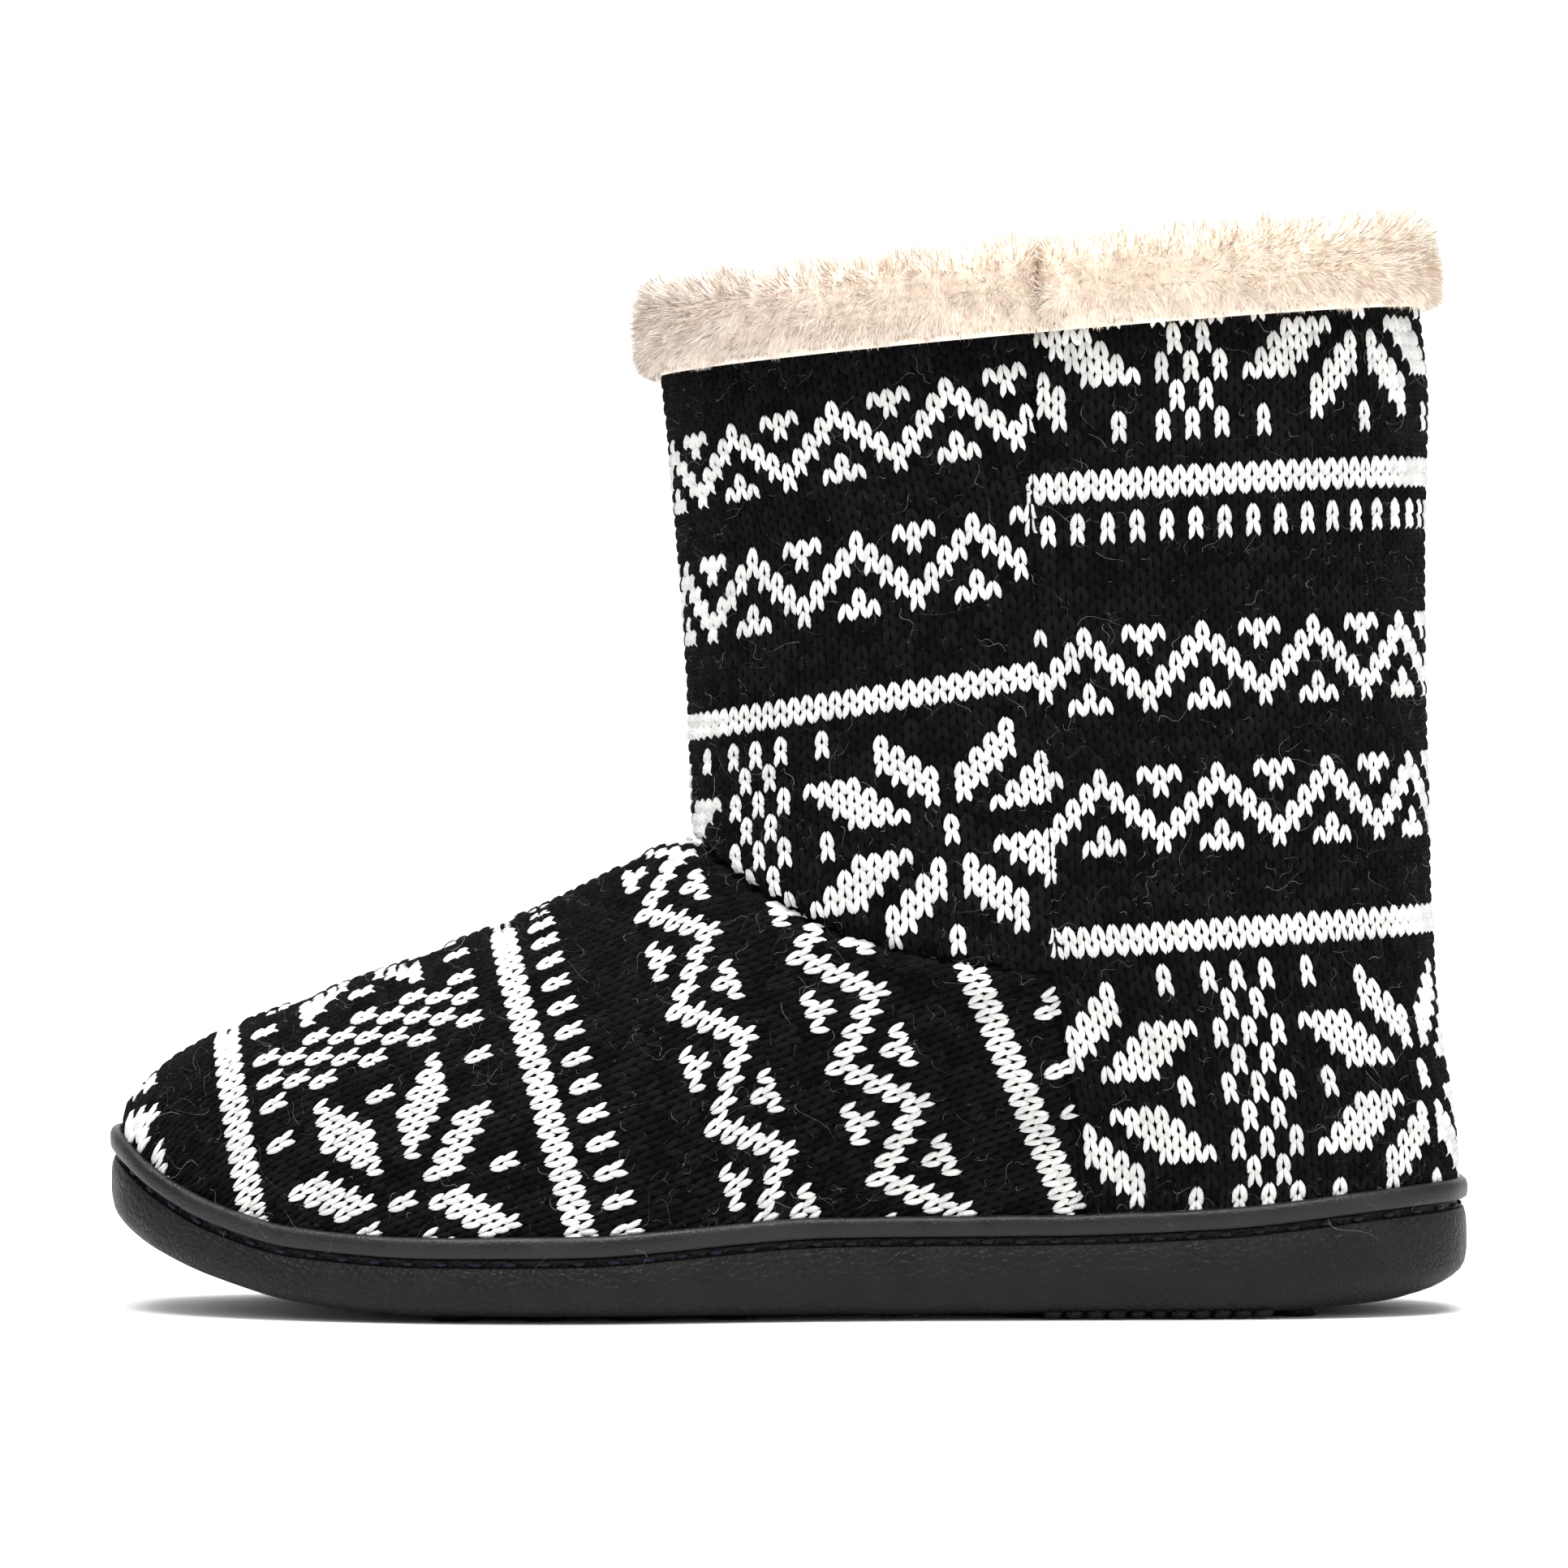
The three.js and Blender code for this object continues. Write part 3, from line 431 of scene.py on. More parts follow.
def reach_along(path):
    steps = np.linalg.norm(np.diff(path, axis=-2), axis=-1)
    return np.concatenate([np.zeros(steps.shape[:-1] + (1,)), np.cumsum(steps, axis=-1)], -1)


class Grid:
    """Places on the upper addressed by row and wale, with the outward normals there."""

    def __init__(self, first_row, first_wale, points, inside, centre):
        self.first_row, self.first_wale, self.points, self.inside = first_row, first_wale, points, inside
        normal = np.cross(np.gradient(points, axis=1), np.gradient(points, axis=0))
        normal /= np.maximum(np.linalg.norm(normal, axis=-1, keepdims=True), 1e-9)
        outward = np.sum(normal * (points - centre(points)), -1)[inside].mean() > 0
        self.normals = normal if outward else -normal

    def look(self, table, row, wale):
        r = np.clip((row - self.first_row) * GRID_STEP, 0, table.shape[0] - 1.001)
        w = np.clip((wale - self.first_wale) * GRID_STEP, 0, table.shape[1] - 1.001)
        i, j = r.astype(int), w.astype(int)
        u, v = r - i, w - j
        if table.ndim == 3:
            u, v = u[..., None], v[..., None]
        low = table[i, j] * (1 - v) + table[i, j + 1] * v
        high = table[i + 1, j] * (1 - v) + table[i + 1, j + 1] * v
        return low * (1 - u) + high * u


def samples(first, last):
    return np.arange(first * GRID_STEP, last * GRID_STEP + 1) / GRID_STEP


def shaft_panel(rows, turns, low_level, height_of, first_wale, last_wale, distance_of, from_seam):
    """Grid of a shaft panel: rows follow height_of(row, x); distance_of(row, wale) is measured along them."""
    levels = np.linspace(low_level, TOP_LEVEL, 200)
    plain, faces = ring_paths(levels, turns)
    at_row = samples(*rows)
    paths = np.empty((len(at_row), len(turns), 4))
    for k, j in np.ndindex(len(at_row), len(turns)):
        gap = plain[:, j, 2] - height_of(at_row[k], plain[:, j, 0])
        level = np.interp(0.0, gap, levels)
        paths[k, j, :3] = [np.interp(level, levels, faces[:, j, axis]) for axis in range(3)]
        paths[k, j, 3] = level if gap[0] < 0 else low_level - 1
    reach = reach_along(paths[..., :3])
    origin = reach[:, len(turns) // 2]
    if from_seam:
        gap = paths[..., 0] - seam_x(paths[..., 2])
        half = len(turns) // 2
        origin = np.array([np.interp(0.0, gap[k, :half], reach[k, :half]) for k in range(len(gap))])
    reach = reach - origin[:, None]
    targets = distance_of(at_row[:, None], samples(first_wale, last_wale)[None])
    found = resample(paths, reach, targets)
    points = found[..., :3]
    ahead = points[..., 0] - seam_x(points[..., 2])
    inside = (targets < reach[:, -1:]) & (targets > reach[:, :1]) & (found[..., 3] > low_level - 0.02)
    inside &= (ahead > -SEAM_MARGIN) if from_seam else (ahead < SEAM_MARGIN)
    middle = np.array([HEEL_X + ANKLE_DEPTH / 2, 0, 0])
    return Grid(rows[0], first_wale, points, inside, lambda p: middle + p * np.array([0, 0, 1]))


def front_panel():
    def height(row, x):
        tilt = np.interp(row, FRONT_ROWS[:, 0], FRONT_ROWS[:, 2])
        return np.interp(row, FRONT_ROWS[:, 0], FRONT_ROWS[:, 1]) + tilt * (-13.5 - x)

    def distance(row, wale):
        return (np.interp(row, FRONT_WALES[:, 0], FRONT_WALES[:, 1])
                + (3 - wale) * np.interp(row, FRONT_WALES[:, 0], FRONT_WALES[:, 2]))

    return shaft_panel((2, 62), np.linspace(0.21, 0.79, 261), CREASE_LEVEL, height, -64, 13, distance, True)


def back_panel():
    def height(row, x):
        return 159.5 - 2.637 * row + 0.06 * (-77 - x)

    def distance(row, wale):
        return np.interp(row, BACK_WALES[:, 0], BACK_WALES[:, 1]) - (wale + 13) * WALE_PITCH

    return shaft_panel((-17, 56), np.linspace(-0.3, 0.3, 261), 0.3, height, -27, 53, distance, False)


def vamp_half(side):
    """One side of the vamp (1 outer, -1 inner); its rows run from the ridge or the crease to the sole."""
    turns = np.linspace(0.17, 0.5, 300)
    levels = np.linspace(0.25, CREASE_LEVEL, 160)
    plain, faces = ring_paths(levels, turns if side > 0 else 1 - turns)
    first_wale, last_wale = (-26, 26) if side > 0 else (-72, -18)
    at_row, at_wale = samples(*VAMP_SPAN), samples(first_wale, last_wale)
    points = np.zeros((len(at_row), len(at_wale), 3))
    inside = np.zeros(points.shape[:2], bool)
    for k, row in enumerate(at_row):
        place, slant, pitch = [np.interp(row, VAMP_ROWS[:, 0], VAMP_ROWS[:, n]) for n in (1, 2, 3)]
        start, edge = [np.interp(row, table[:, 0], table[:, 1]) for table in (RIDGE_WALES, EDGE_WALES)]
        gap = plain[..., 0] - slant * (plain[..., 2] - VAMP_HEIGHT) - place
        reached = np.flatnonzero(gap[:, -1] > 0)
        if len(reached) < 3:
            flat = np.stack([np.full(len(at_wale), 0.9 * row), at_wale, 0 * at_wale], -1)
            points[k] = faces[0, -1] + flat
            continue
        path = np.array([[np.interp(0.0, gap[i], faces[i, :, axis]) for axis in range(3)]
                         for i in reached])[::-1]
        top = reached[-1]
        on_ridge = top < len(levels) - 1
        if on_ridge:
            t = gap[top, -1] / (gap[top, -1] - gap[top + 1, -1])
            ridge = mix(faces[top, -1], faces[top + 1, -1], t)
            beyond = path[OVER_RIDGE:0:-1] * [1, -1, 1] + [0, 2 * ridge[1], 0]
            path = np.concatenate([beyond, ridge[None], path[1:]])
        reach = reach_along(path)
        reach -= reach[OVER_RIDGE] if on_ridge else 0
        wale = at_wale if side > 0 else 2 * start - at_wale
        at = (wale - start) * pitch if on_ridge else reach[-1] - (edge - wale) * pitch
        for axis in range(3):
            points[k, :, axis] = np.interp(at, reach, path[:, axis])
        start_at = (-0.01 if side > 0 else 0.01) + (0 if on_ridge else 0.1)
        inside[k] = (at < reach[-1] + 0.4) & (at > start_at)
        inside[k] &= points[k, :, 0] > seam_x(points[k, :, 2]) + 0.3
    return Grid(VAMP_SPAN[0], first_wale, points, inside,
                lambda p: p * np.array([1, 0, 0]) + np.array([0, 0, 10]))


# One leg of a stitch: place along the leg, half width in wales, height in mm
LEG = np.array([(0.0, 0.03, -0.2), (0.16, 0.14, 0.38), (0.46, 0.208, 0.72), (0.76, 0.2, 0.66),
                (1.0, 0.03, -0.1)])
LEG_FOOT, LEG_SPREAD, LEG_START, LEG_RUN, LEG_SLANT = 0.08, 0.34, -0.1, 1.46, 0.26


def leg_template():
    """Wale offset, row offset, height, and yarn coordinates of one leg's points; two legs mirror it."""
    across = np.array([-1.0, 0.0, 1.0])
    t, half, high = LEG[:, 0:1], LEG[:, 1:2], LEG[:, 2:3]
    wale = LEG_FOOT + LEG_SPREAD * t + half * across
    row = LEG_START + LEG_RUN * t - LEG_SLANT * half * across
    height = np.where(across == 0, high, high * 0.25 - 0.12) * np.ones_like(wale)
    uv = np.stack([(across + 1) / 2 + 0 * t, t + 0 * across], -1)
    return wale.ravel(), row.ravel(), height.ravel(), uv.reshape(-1, 2)


def knit_object(name, grid, rows, wales, materials, seed):
    """A piece of knitting: two plump legs a stitch, white or black by the chart."""
    rng = np.random.default_rng(seed)
    row, wale = np.meshgrid(np.arange(*rows), np.arange(*wales), indexing="ij")
    row, wale = row.ravel(), wale.ravel()
    kept = grid.look(grid.inside.astype(float), row + 0.5, wale.astype(float)) > 0.55
    row, wale = row[kept], wale[kept]
    white = pattern(row, wale)
    a, b, h, uv = leg_template()
    count, size = len(row), len(a)
    jitter = rng.normal(size=(4, count, 1))
    points, uvs, faces, shades = [], [], [], []
    base = grid_faces(len(LEG), 3)
    tone = rng.uniform(0, 1, count)
    for k, side in enumerate((1.0, -1.0)):
        wide = 1 + 0.05 * jitter[0]
        at_wale = wale[:, None] + side * a * wide + 0.018 * jitter[1]
        at_row = row[:, None] + b + 0.025 * jitter[2]
        high = h * (np.where(white, 1.12, 0.92)[:, None] + 0.08 * jitter[3])
        place = grid.look(grid.points, at_row, at_wale)
        normal = grid.look(grid.normals, at_row, at_wale)
        points.append((place + normal * high[..., None]).reshape(-1, 3))
        uvs.append(np.tile(uv, (count, 1)) + rng.integers(0, 40, (count, 1)).repeat(size, 0))
        start = (np.arange(count) * size + k * count * size)[:, None, None]
        quads = base if side < 0 else base[:, ::-1]
        faces.append((quads[None] + start).reshape(-1, 4))
        shades.append(np.repeat(tone + rng.uniform(-0.1, 0.1, count), size))
    colour = np.tile(np.repeat(np.where(white, 0, 1), len(base)), 2)
    faces, points = np.concatenate(faces), np.concatenate(points)
    corner = points[faces[: len(base)]]
    if np.dot(np.cross(corner[5, 1] - corner[5, 0], corner[5, 3] - corner[5, 0]),
              grid.look(grid.normals, row[:1] + 0.5, wale[:1] * 1.0)[0]) < 0:
        faces = faces[:, ::-1]
    obj = make_object(name, points, faces, materials, colour)
    set_uv(obj, np.concatenate(uvs))
    set_tone(obj, np.concatenate(shades))
    return obj


def fibres(name, places, directions, lengths, width, curl, paint, seed, segments, facing=None, wave=0.0):
    """Thin tapering ribbons: roots, unit directions and lengths in mm. facing turns their flat sides."""
    rng = np.random.default_rng(seed)
    count = len(places)
    t = np.linspace(0, 1, segments + 1)
    bend = rng.normal(size=(count, 3))
    bend *= curl / np.linalg.norm(bend, axis=1, keepdims=True)
    twist = np.cross(directions, rng.normal(size=(count, 3)) if facing is None else facing)
    twist /= np.maximum(np.linalg.norm(twist, axis=1, keepdims=True), 1e-9)
    centre = places[:, None] + (directions[:, None] * t[None, :, None]
                                + bend[:, None] * (t ** 2)[None, :, None]) * lengths[:, None, None]
    swing = np.sin(2 * np.pi * (t[None] * rng.uniform(0.6, 1.5, (count, 1)))) * wave * lengths[:, None]
    centre += twist[:, None] * swing[..., None]
    half = twist[:, None] * (width * (1 - t[:-1] ** 1.5) / 2)[None, :, None]
    left, right = centre[:, :-1] - half, centre[:, :-1] + half
    points = np.concatenate([left, right, centre[:, -1:]], 1)
    size = 2 * segments + 1
    base = []
    for k in range(segments - 1):
        base += [(k, segments + k, segments + k + 1), (k, segments + k + 1, k + 1)]
    base.append((segments - 1, 2 * segments - 1, 2 * segments))
    faces = (np.array(base)[None] + (np.arange(count) * size)[:, None, None]).reshape(-1, 3)
    obj = make_object(name, points.reshape(-1, 3), faces, [paint])
    set_tone(obj, np.repeat(rng.uniform(0, 1, count), size))
    along = np.concatenate([t[:-1], t[:-1], t[-1:]])
    set_uv(obj, np.stack([np.tile(along * 0 + 0.5, count), np.tile(along, count)], -1))
    if facing is not None:
        soft = facing / np.linalg.norm(facing, axis=1, keepdims=True)
        obj.data.normals_split_custom_set_from_vertices(np.repeat(soft, size, axis=0))
    return obj


# Materials.
class Shader:
    """A Principled material with short calls for its nodes. Lengths in node inputs are in metres."""

    def __init__(self, name, colour, roughness, **settings):
        self.material = bpy.data.materials.new(name)
        self.material.use_nodes = True
        self.tree = self.material.node_tree
        self.surface = self.tree.nodes["Principled BSDF"]
        self.set(self.surface, {"Base Color": (*colour, 1), "Roughness": roughness, **settings})
        self.place = self.tree.nodes.new("ShaderNodeTexCoord").outputs["Object"]

    def set(self, node, inputs):
        for key, value in inputs.items():
            if isinstance(value, bpy.types.NodeSocket):
                self.tree.links.new(value, node.inputs[key])
            else:
                node.inputs[key].default_value = value
        return node

    def node(self, kind, inputs, **props):
        made = self.tree.nodes.new(kind)
        for key, value in props.items():
            setattr(made, key, value)
        return self.set(made, inputs)

    def noise(self, size, detail=3.0, roughness=0.5, place=None):
        settings = {"Vector": place or self.place, "Scale": 1 / (size * MM), "Detail": detail,
                    "Roughness": roughness}
        return self.node("ShaderNodeTexNoise", settings).outputs["Fac"]

    def cells(self, size):
        return self.node("ShaderNodeTexVoronoi", {"Vector": self.place, "Scale": 1 / (size * MM)},
                         feature="DISTANCE_TO_EDGE").outputs["Distance"]

    def ramp(self, value, low, high, start=0.0, end=1.0):
        return self.node("ShaderNodeMapRange", {"Value": value, "From Min": low, "From Max": high,
                                                "To Min": start, "To Max": end}).outputs["Result"]

    def math(self, operation, first, second):
        return self.node("ShaderNodeMath", {0: first, 1: second}, operation=operation).outputs[0]

    def blend(self, share, first, second):
        made = self.node("ShaderNodeMix", {"Factor": share}, data_type="RGBA")
        for socket, value in zip((made.inputs[6], made.inputs[7]), (first, second)):
            if isinstance(value, bpy.types.NodeSocket):
                self.tree.links.new(value, socket)
            else:
                socket.default_value = (*value, 1)
        return made.outputs[2]

    def attribute(self, name):
        return self.node("ShaderNodeAttribute", {}, attribute_name=name).outputs["Fac"]

    def axis(self, index):
        return self.node("ShaderNodeSeparateXYZ", {"Vector": self.place}).outputs[index]

    def bump(self, height, strength, distance, under=None):
        settings = {"Height": height, "Strength": strength, "Distance": distance * MM}
        if under:
            settings["Normal"] = under
        return self.node("ShaderNodeBump", settings).outputs["Normal"]

    def finish(self, **inputs):
        self.set(self.surface, {key.replace("_", " "): value for key, value in inputs.items()})
        return self.material


def yarn_material(name, low, high, ply_depth):
    """Plied yarn: slanting plies along each leg of a stitch, and a fuzzy grain."""
    made = Shader(name, high, 0.9, **{"Sheen Weight": 0.015, "Sheen Roughness": 0.5,
                                      "Specular IOR Level": 0.04})
    yarn = made.node("ShaderNodeUVMap", {}, uv_map="yarn").outputs["UV"]
    scaled = made.node("ShaderNodeMapping", {"Vector": yarn, "Scale": (1.0, 4.0, 0.0)}).outputs["Vector"]
    plies = made.node("ShaderNodeTexWave", {"Vector": scaled, "Scale": 0.628}, bands_direction="DIAGONAL")
    fuzz = made.noise(0.35, 4.0, 0.65)
    share = made.math("MULTIPLY_ADD", made.attribute("tone"), 0.6)
    made.tree.links.new(made.ramp(fuzz, 0.35, 0.7, 0.0, 0.4), share.node.inputs[2])
    under = made.bump(plies.outputs["Fac"], 0.5, ply_depth)
    return made.finish(Base_Color=made.blend(share, low, high), Normal=made.bump(fuzz, 0.5, 0.18, under))


# The near-black ground is partly the black yarn behind the stitches and partly painted shade in the gaps
# between them.
def ground_and_gap_shade_material():
    made = Shader("knit_ground_and_gap_shade", (0.002, 0.002, 0.002), 0.95, **{"Specular IOR Level": 0.02})
    return made.finish(Normal=made.bump(made.noise(0.6), 0.4, 0.2))


def plush_material(name, low, high):
    made = Shader(name, high, 0.95, **{"Sheen Weight": 0.5, "Sheen Roughness": 0.6})
    tufts = made.noise(1.8, 5.0, 0.7)
    return made.finish(Base_Color=made.blend(made.ramp(tufts, 0.35, 0.65), low, high),
                       Normal=made.bump(tufts, 0.8, 1.0))


FUR_COOL, FUR_WARM, FUR_PALE = (0.80, 0.68, 0.60), (0.98, 0.83, 0.68), (0.99, 0.95, 0.9)
# FUR_GLOW is painted light: the fur glows faintly in its own colour, which lifts its shadows.
SEAM_BROWN, SEAM_BROWN_SHARE, FUR_GLOW = (0.42, 0.22, 0.12), 0.18, 0.06
WARM_FROM, WARM_TO = 0.052, -0.02


def fur_material(name, scale=1.0):
    """Fur: cool at the front end, warm cream over the middle and back, brownish in specks along the side
    seams, and glowing faintly in its own colour, a painted light.
    """
    made = Shader(name, FUR_WARM, 0.75, **{"Sheen Weight": 0.3, "Sheen Roughness": 0.4,
                                           "Specular IOR Level": 0.25, "Emission Strength": FUR_GLOW})
    along = made.axis(0)
    patch = made.noise(14.0, 2.0)
    shift = made.math("MULTIPLY_ADD", patch, 0.03)
    made.tree.links.new(along, shift.node.inputs[2])
    warm = made.ramp(shift, WARM_FROM, WARM_TO)
    # A scale below 1 darkens the colours; fur_base uses it for painted shade under the coat.
    colour = made.blend(warm, [scale * c for c in FUR_COOL], [scale * c for c in FUR_WARM])
    fine = made.blend(made.ramp(made.attribute("tone"), 0.0, 1.0, 0.0, 0.45), colour, FUR_PALE)
    seam_gap = made.math("ABSOLUTE", made.math("SUBTRACT", along, SEAM[-1, 1] * MM), 0.0)
    # Brownish specks in a narrow band along the side seam.
    roots = made.math("MULTIPLY", made.ramp(seam_gap, 0.004, 0.001), made.ramp(made.noise(2.5), 0.5, 0.7))
    fine = made.blend(made.math("MULTIPLY", roots, SEAM_BROWN_SHARE), fine, SEAM_BROWN)
    drawn = made.node("ShaderNodeMapping", {"Vector": made.place, "Scale": (1, 1, 0.25)}).outputs["Vector"]
    hairs = made.noise(0.4, 2.0, place=drawn)
    # Painted light: the emission glows in the fur's own colour.
    return made.finish(Base_Color=fine, Emission_Color=fine, Normal=made.bump(hairs, 0.4, 0.3))


def fuzz_material():
    made = Shader("stray_fibre", (0.42, 0.41, 0.41), 0.8, **{"Sheen Weight": 0.3})
    colour = made.blend(made.attribute("tone"), (0.05, 0.05, 0.051), (0.36, 0.36, 0.36))
    return made.finish(Base_Color=colour)


def grained_rubber(name, colour, roughness, shine, grain):
    """Fine leather-like grain: small cells with shallow creases and some larger dents, with painted shade
    darkening the larger dents and lighter colour over their raised parts.
    """
    made = Shader(name, colour, roughness, **{"Specular IOR Level": shine})
    cells = made.cells(1.4)
    creases = made.ramp(cells, 0.0, 0.2)
    fine = made.noise(0.9, 3.0)
    wide = made.noise(9.0, 3.0)
    under = made.bump(creases, grain, 0.35)
    normal = made.bump(fine, grain, 0.3, made.bump(wide, 0.25, 0.8, under))
    # Painted shade: the colour is darker in the larger dents and lighter over their raised parts.
    tone = made.blend(made.ramp(wide, 0.35, 0.7), colour, [min(1, c * 1.35 + 0.003) for c in colour])
    rough = made.ramp(wide, 0.3, 0.7, roughness - 0.08, roughness + 0.08)
    return made.finish(Base_Color=tone, Normal=normal, Roughness=rough)


def thread_material(name, blue, brown):
    """Dark thread, bluish at the front and brown towards the heel."""
    made = Shader(name, brown, 0.6, **{"Sheen Weight": 0.1, "Specular IOR Level": 0.2})
    strands = made.node("ShaderNodeTexWave", {"Vector": made.place, "Scale": 400.0},
                        bands_direction="DIAGONAL").outputs["Fac"]
    ahead = made.ramp(made.axis(0), -0.06, 0.02)
    return made.finish(Base_Color=made.blend(ahead, brown, blue), Normal=made.bump(strands, 0.5, 0.1))


def floor_material():
    made = Shader("floor_paint", (0.9, 0.9, 0.9), 0.85, **{"Specular IOR Level": 0.1})
    soft = made.blend(made.noise(900.0, 1.0), (0.885, 0.885, 0.885), (0.915, 0.915, 0.915))
    return made.finish(Base_Color=soft)


MATERIALS = {}


def material(name):
    """Materials are made once and shared between pieces."""
    makers = {
        "yarn_white": lambda: yarn_material("yarn_white", (0.56, 0.56, 0.55), (0.80, 0.80, 0.78), 0.2),
        "yarn_black": lambda: yarn_material("yarn_black", (0.0008, 0.0008, 0.0009), (0.0085, 0.0085, 0.0087),
                                            0.2),
        "knit_ground_and_gap_shade": ground_and_gap_shade_material,
        "plush": lambda: plush_material("plush", (0.62, 0.54, 0.45), (0.82, 0.75, 0.66)),
        "fur": lambda: fur_material("fur"),
        # The fur's body is painted 6% darker than its strands: painted shade under the coat.
        "fur_base": lambda: fur_material("fur_base", 0.94),
        "stray_fibre": fuzz_material,
        "sole_rubber": lambda: grained_rubber("sole_rubber", (0.0033, 0.0031, 0.0034), 0.5, 0.17, 0.5),
        "welt_rubber": lambda: grained_rubber("welt_rubber", (0.0065, 0.006, 0.007), 0.42, 0.26, 0.15),
        "thread": lambda: thread_material("thread", (0.005, 0.008, 0.022), (0.010, 0.007, 0.006)),
        "floor_paint": floor_material,
    }
    if name not in MATERIALS:
        MATERIALS[name] = makers[name]()
    return MATERIALS[name]


# Pieces.
def finish_piece(obj, slot, *nodes):
    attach(obj, "root")
    if nodes:
        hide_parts(*nodes)
    return obj


def joined_rings(name, rings, materials, row_material):
    """A closed surface from a cyclic stack of closed rings, outer face first and going up."""
    rows, columns = rings.shape[:2]
    faces = grid_faces(rows, columns, closed_columns=True, closed_rows=True, flip=True)
    return make_object(name, rings.reshape(-1, 3), faces, materials, np.repeat(row_material, columns))


def make_wall():
    """Near-black ground outside, partly the black yarn behind the stitches and partly painted shade in the
    gaps between them, and plush inside; one hollow wall open at both ends.
    """
    levels = np.concatenate([np.linspace(0, 8.4, 42), np.linspace(8.5, 9.5, 11), np.linspace(9.7, 15, 30)])
    turns = even_turns(6.0, 190)
    outer, normal = upper_grid(levels, np.concatenate([turns, [1.0]]))
    outer, normal = outer[:, :-1], normal[:, :-1]
    for row in (0, -1):
        normal[row, :, 2] = 0
        normal[row] /= np.linalg.norm(normal[row], axis=1, keepdims=True)
    inner = outer - normal * UPPER_WALL
    rings = np.concatenate([outer, inner[::-1]])
    lining = np.concatenate([np.zeros(len(levels) - 1), np.ones(len(levels) + 1)])
    made = joined_rings("upper_wall", rings, [material("knit_ground_and_gap_shade"), material("plush")], lining)
    return finish_piece(made, "knit", "upper")


def make_knit(seed):
    """The four knitted pieces, each with its rows and wales."""
    yarns = [material("yarn_white"), material("yarn_black")]
    panels = (("knit_back", back_panel(), (-16, 54), (-26, 52)),
              ("knit_front", front_panel(), (3, 60), (-63, 12)),
              ("knit_vamp_outer", vamp_half(1), (-36, 49), (-25, 25)),
              ("knit_vamp_inner", vamp_half(-1), (-36, 49), (-71, -18)))
    for k, (name, grid, rows, wales) in enumerate(panels):
        finish_piece(knit_object(name, grid, rows, wales, yarns, seed + k), "knit")


def make_stray_fibres(count, seed=5):
    """Short pale fibres that stand off the knitting."""
    rng = np.random.default_rng(seed)
    levels, turns = np.linspace(0.4, 14.6, 90), np.linspace(0, 1, 240)
    points, normal = upper_grid(levels, turns)
    area = np.linalg.norm(np.cross(np.gradient(points, axis=0), np.gradient(points, axis=1)), axis=-1).ravel()
    pick = rng.choice(len(area), count, p=area / area.sum())
    root = points.reshape(-1, 3)[pick] + rng.normal(size=(count, 3)) * 1.2
    out = normal.reshape(-1, 3)[pick]
    direction = out * rng.uniform(0.0, 0.5, (count, 1)) + rng.normal(size=(count, 3)) * 0.6
    direction /= np.linalg.norm(direction, axis=1, keepdims=True)
    made = fibres("stray_fibres", root + out * 0.4, direction, rng.gamma(4, 0.9, count), 0.045, 0.7,
                  material("stray_fibre"), seed, 7, wave=0.16)
    return finish_piece(made, "knit")


def seam_turn():
    """Turn of the outer side seam at the wall's top; the inner one stands at one minus it."""
    turn = np.linspace(0.1, 0.4, 400)
    points = plain_surface(np.full(400, TOP_LEVEL), turn)
    return float(np.interp(0.0, points[:, 0] - seam_x(points[:, 2]), turn))


def cuff_frame(first, last, count):
    """The cuff's section swept from one side seam to the other: points by column and place on the section."""
    turn = np.linspace(first, last, 400)
    top = plain_surface(np.full(400, TOP_LEVEL), turn)
    reach = reach_along(top)
    total = reach[-1]
    turns = np.interp(np.linspace(CLEARANCE / 2, total - CLEARANCE / 2, count), reach, turn)
    levels = np.linspace(11.5, TOP_LEVEL, 90)
    wall, normal = upper_grid(levels, turns)
    wall, normal = wall[::-1], normal[::-1]
    fall = reach_along(wall.transpose(1, 0, 2)).T
    rows = []
    section = smooth_section(4)
    for side, pile, height in section:
        flap = CUFF_FLAP if side > 0 else CUFF_REACH
        below = max(0.0, -height) * flap
        point, face = np.empty((count, 3)), np.empty((count, 3))
        for j in range(count):
            for axis in range(3):
                point[j, axis] = np.interp(below, fall[:, j], wall[:, j, axis])
                face[j, axis] = np.interp(below, fall[:, j], normal[:, j, axis])
        away = CUFF_CLEARANCE + pile * CUFF_PILE
        inner = (1 - side) / 2
        point = point + face * (mix(away, -UPPER_WALL - away, inner))
        point[:, 2] += max(0.0, height) * CUFF_PILE + CUFF_CLEARANCE * (height >= 0)
        rows.append(point)
    return np.array(rows), section


def smooth_section(steps):
    """The section table with points added along its sides; side turns from 1 to -1 over the wall's top."""
    closed = np.concatenate([CUFF_SECTION, CUFF_SECTION[:1]])
    fine = []
    for start, end in zip(closed[:-1], closed[1:]):
        fine += [mix(start, end, k / steps) for k in range(steps)]
    fine = np.array(fine)
    for _ in range(2):
        soft = (np.roll(fine, 1, 0) + fine + np.roll(fine, -1, 0)) / 3
        free = (fine[:, 1] > 0.12) & (np.abs(fine[:, 0]) > 0.99)
        fine = np.where(free[:, None], soft, fine)
    return fine


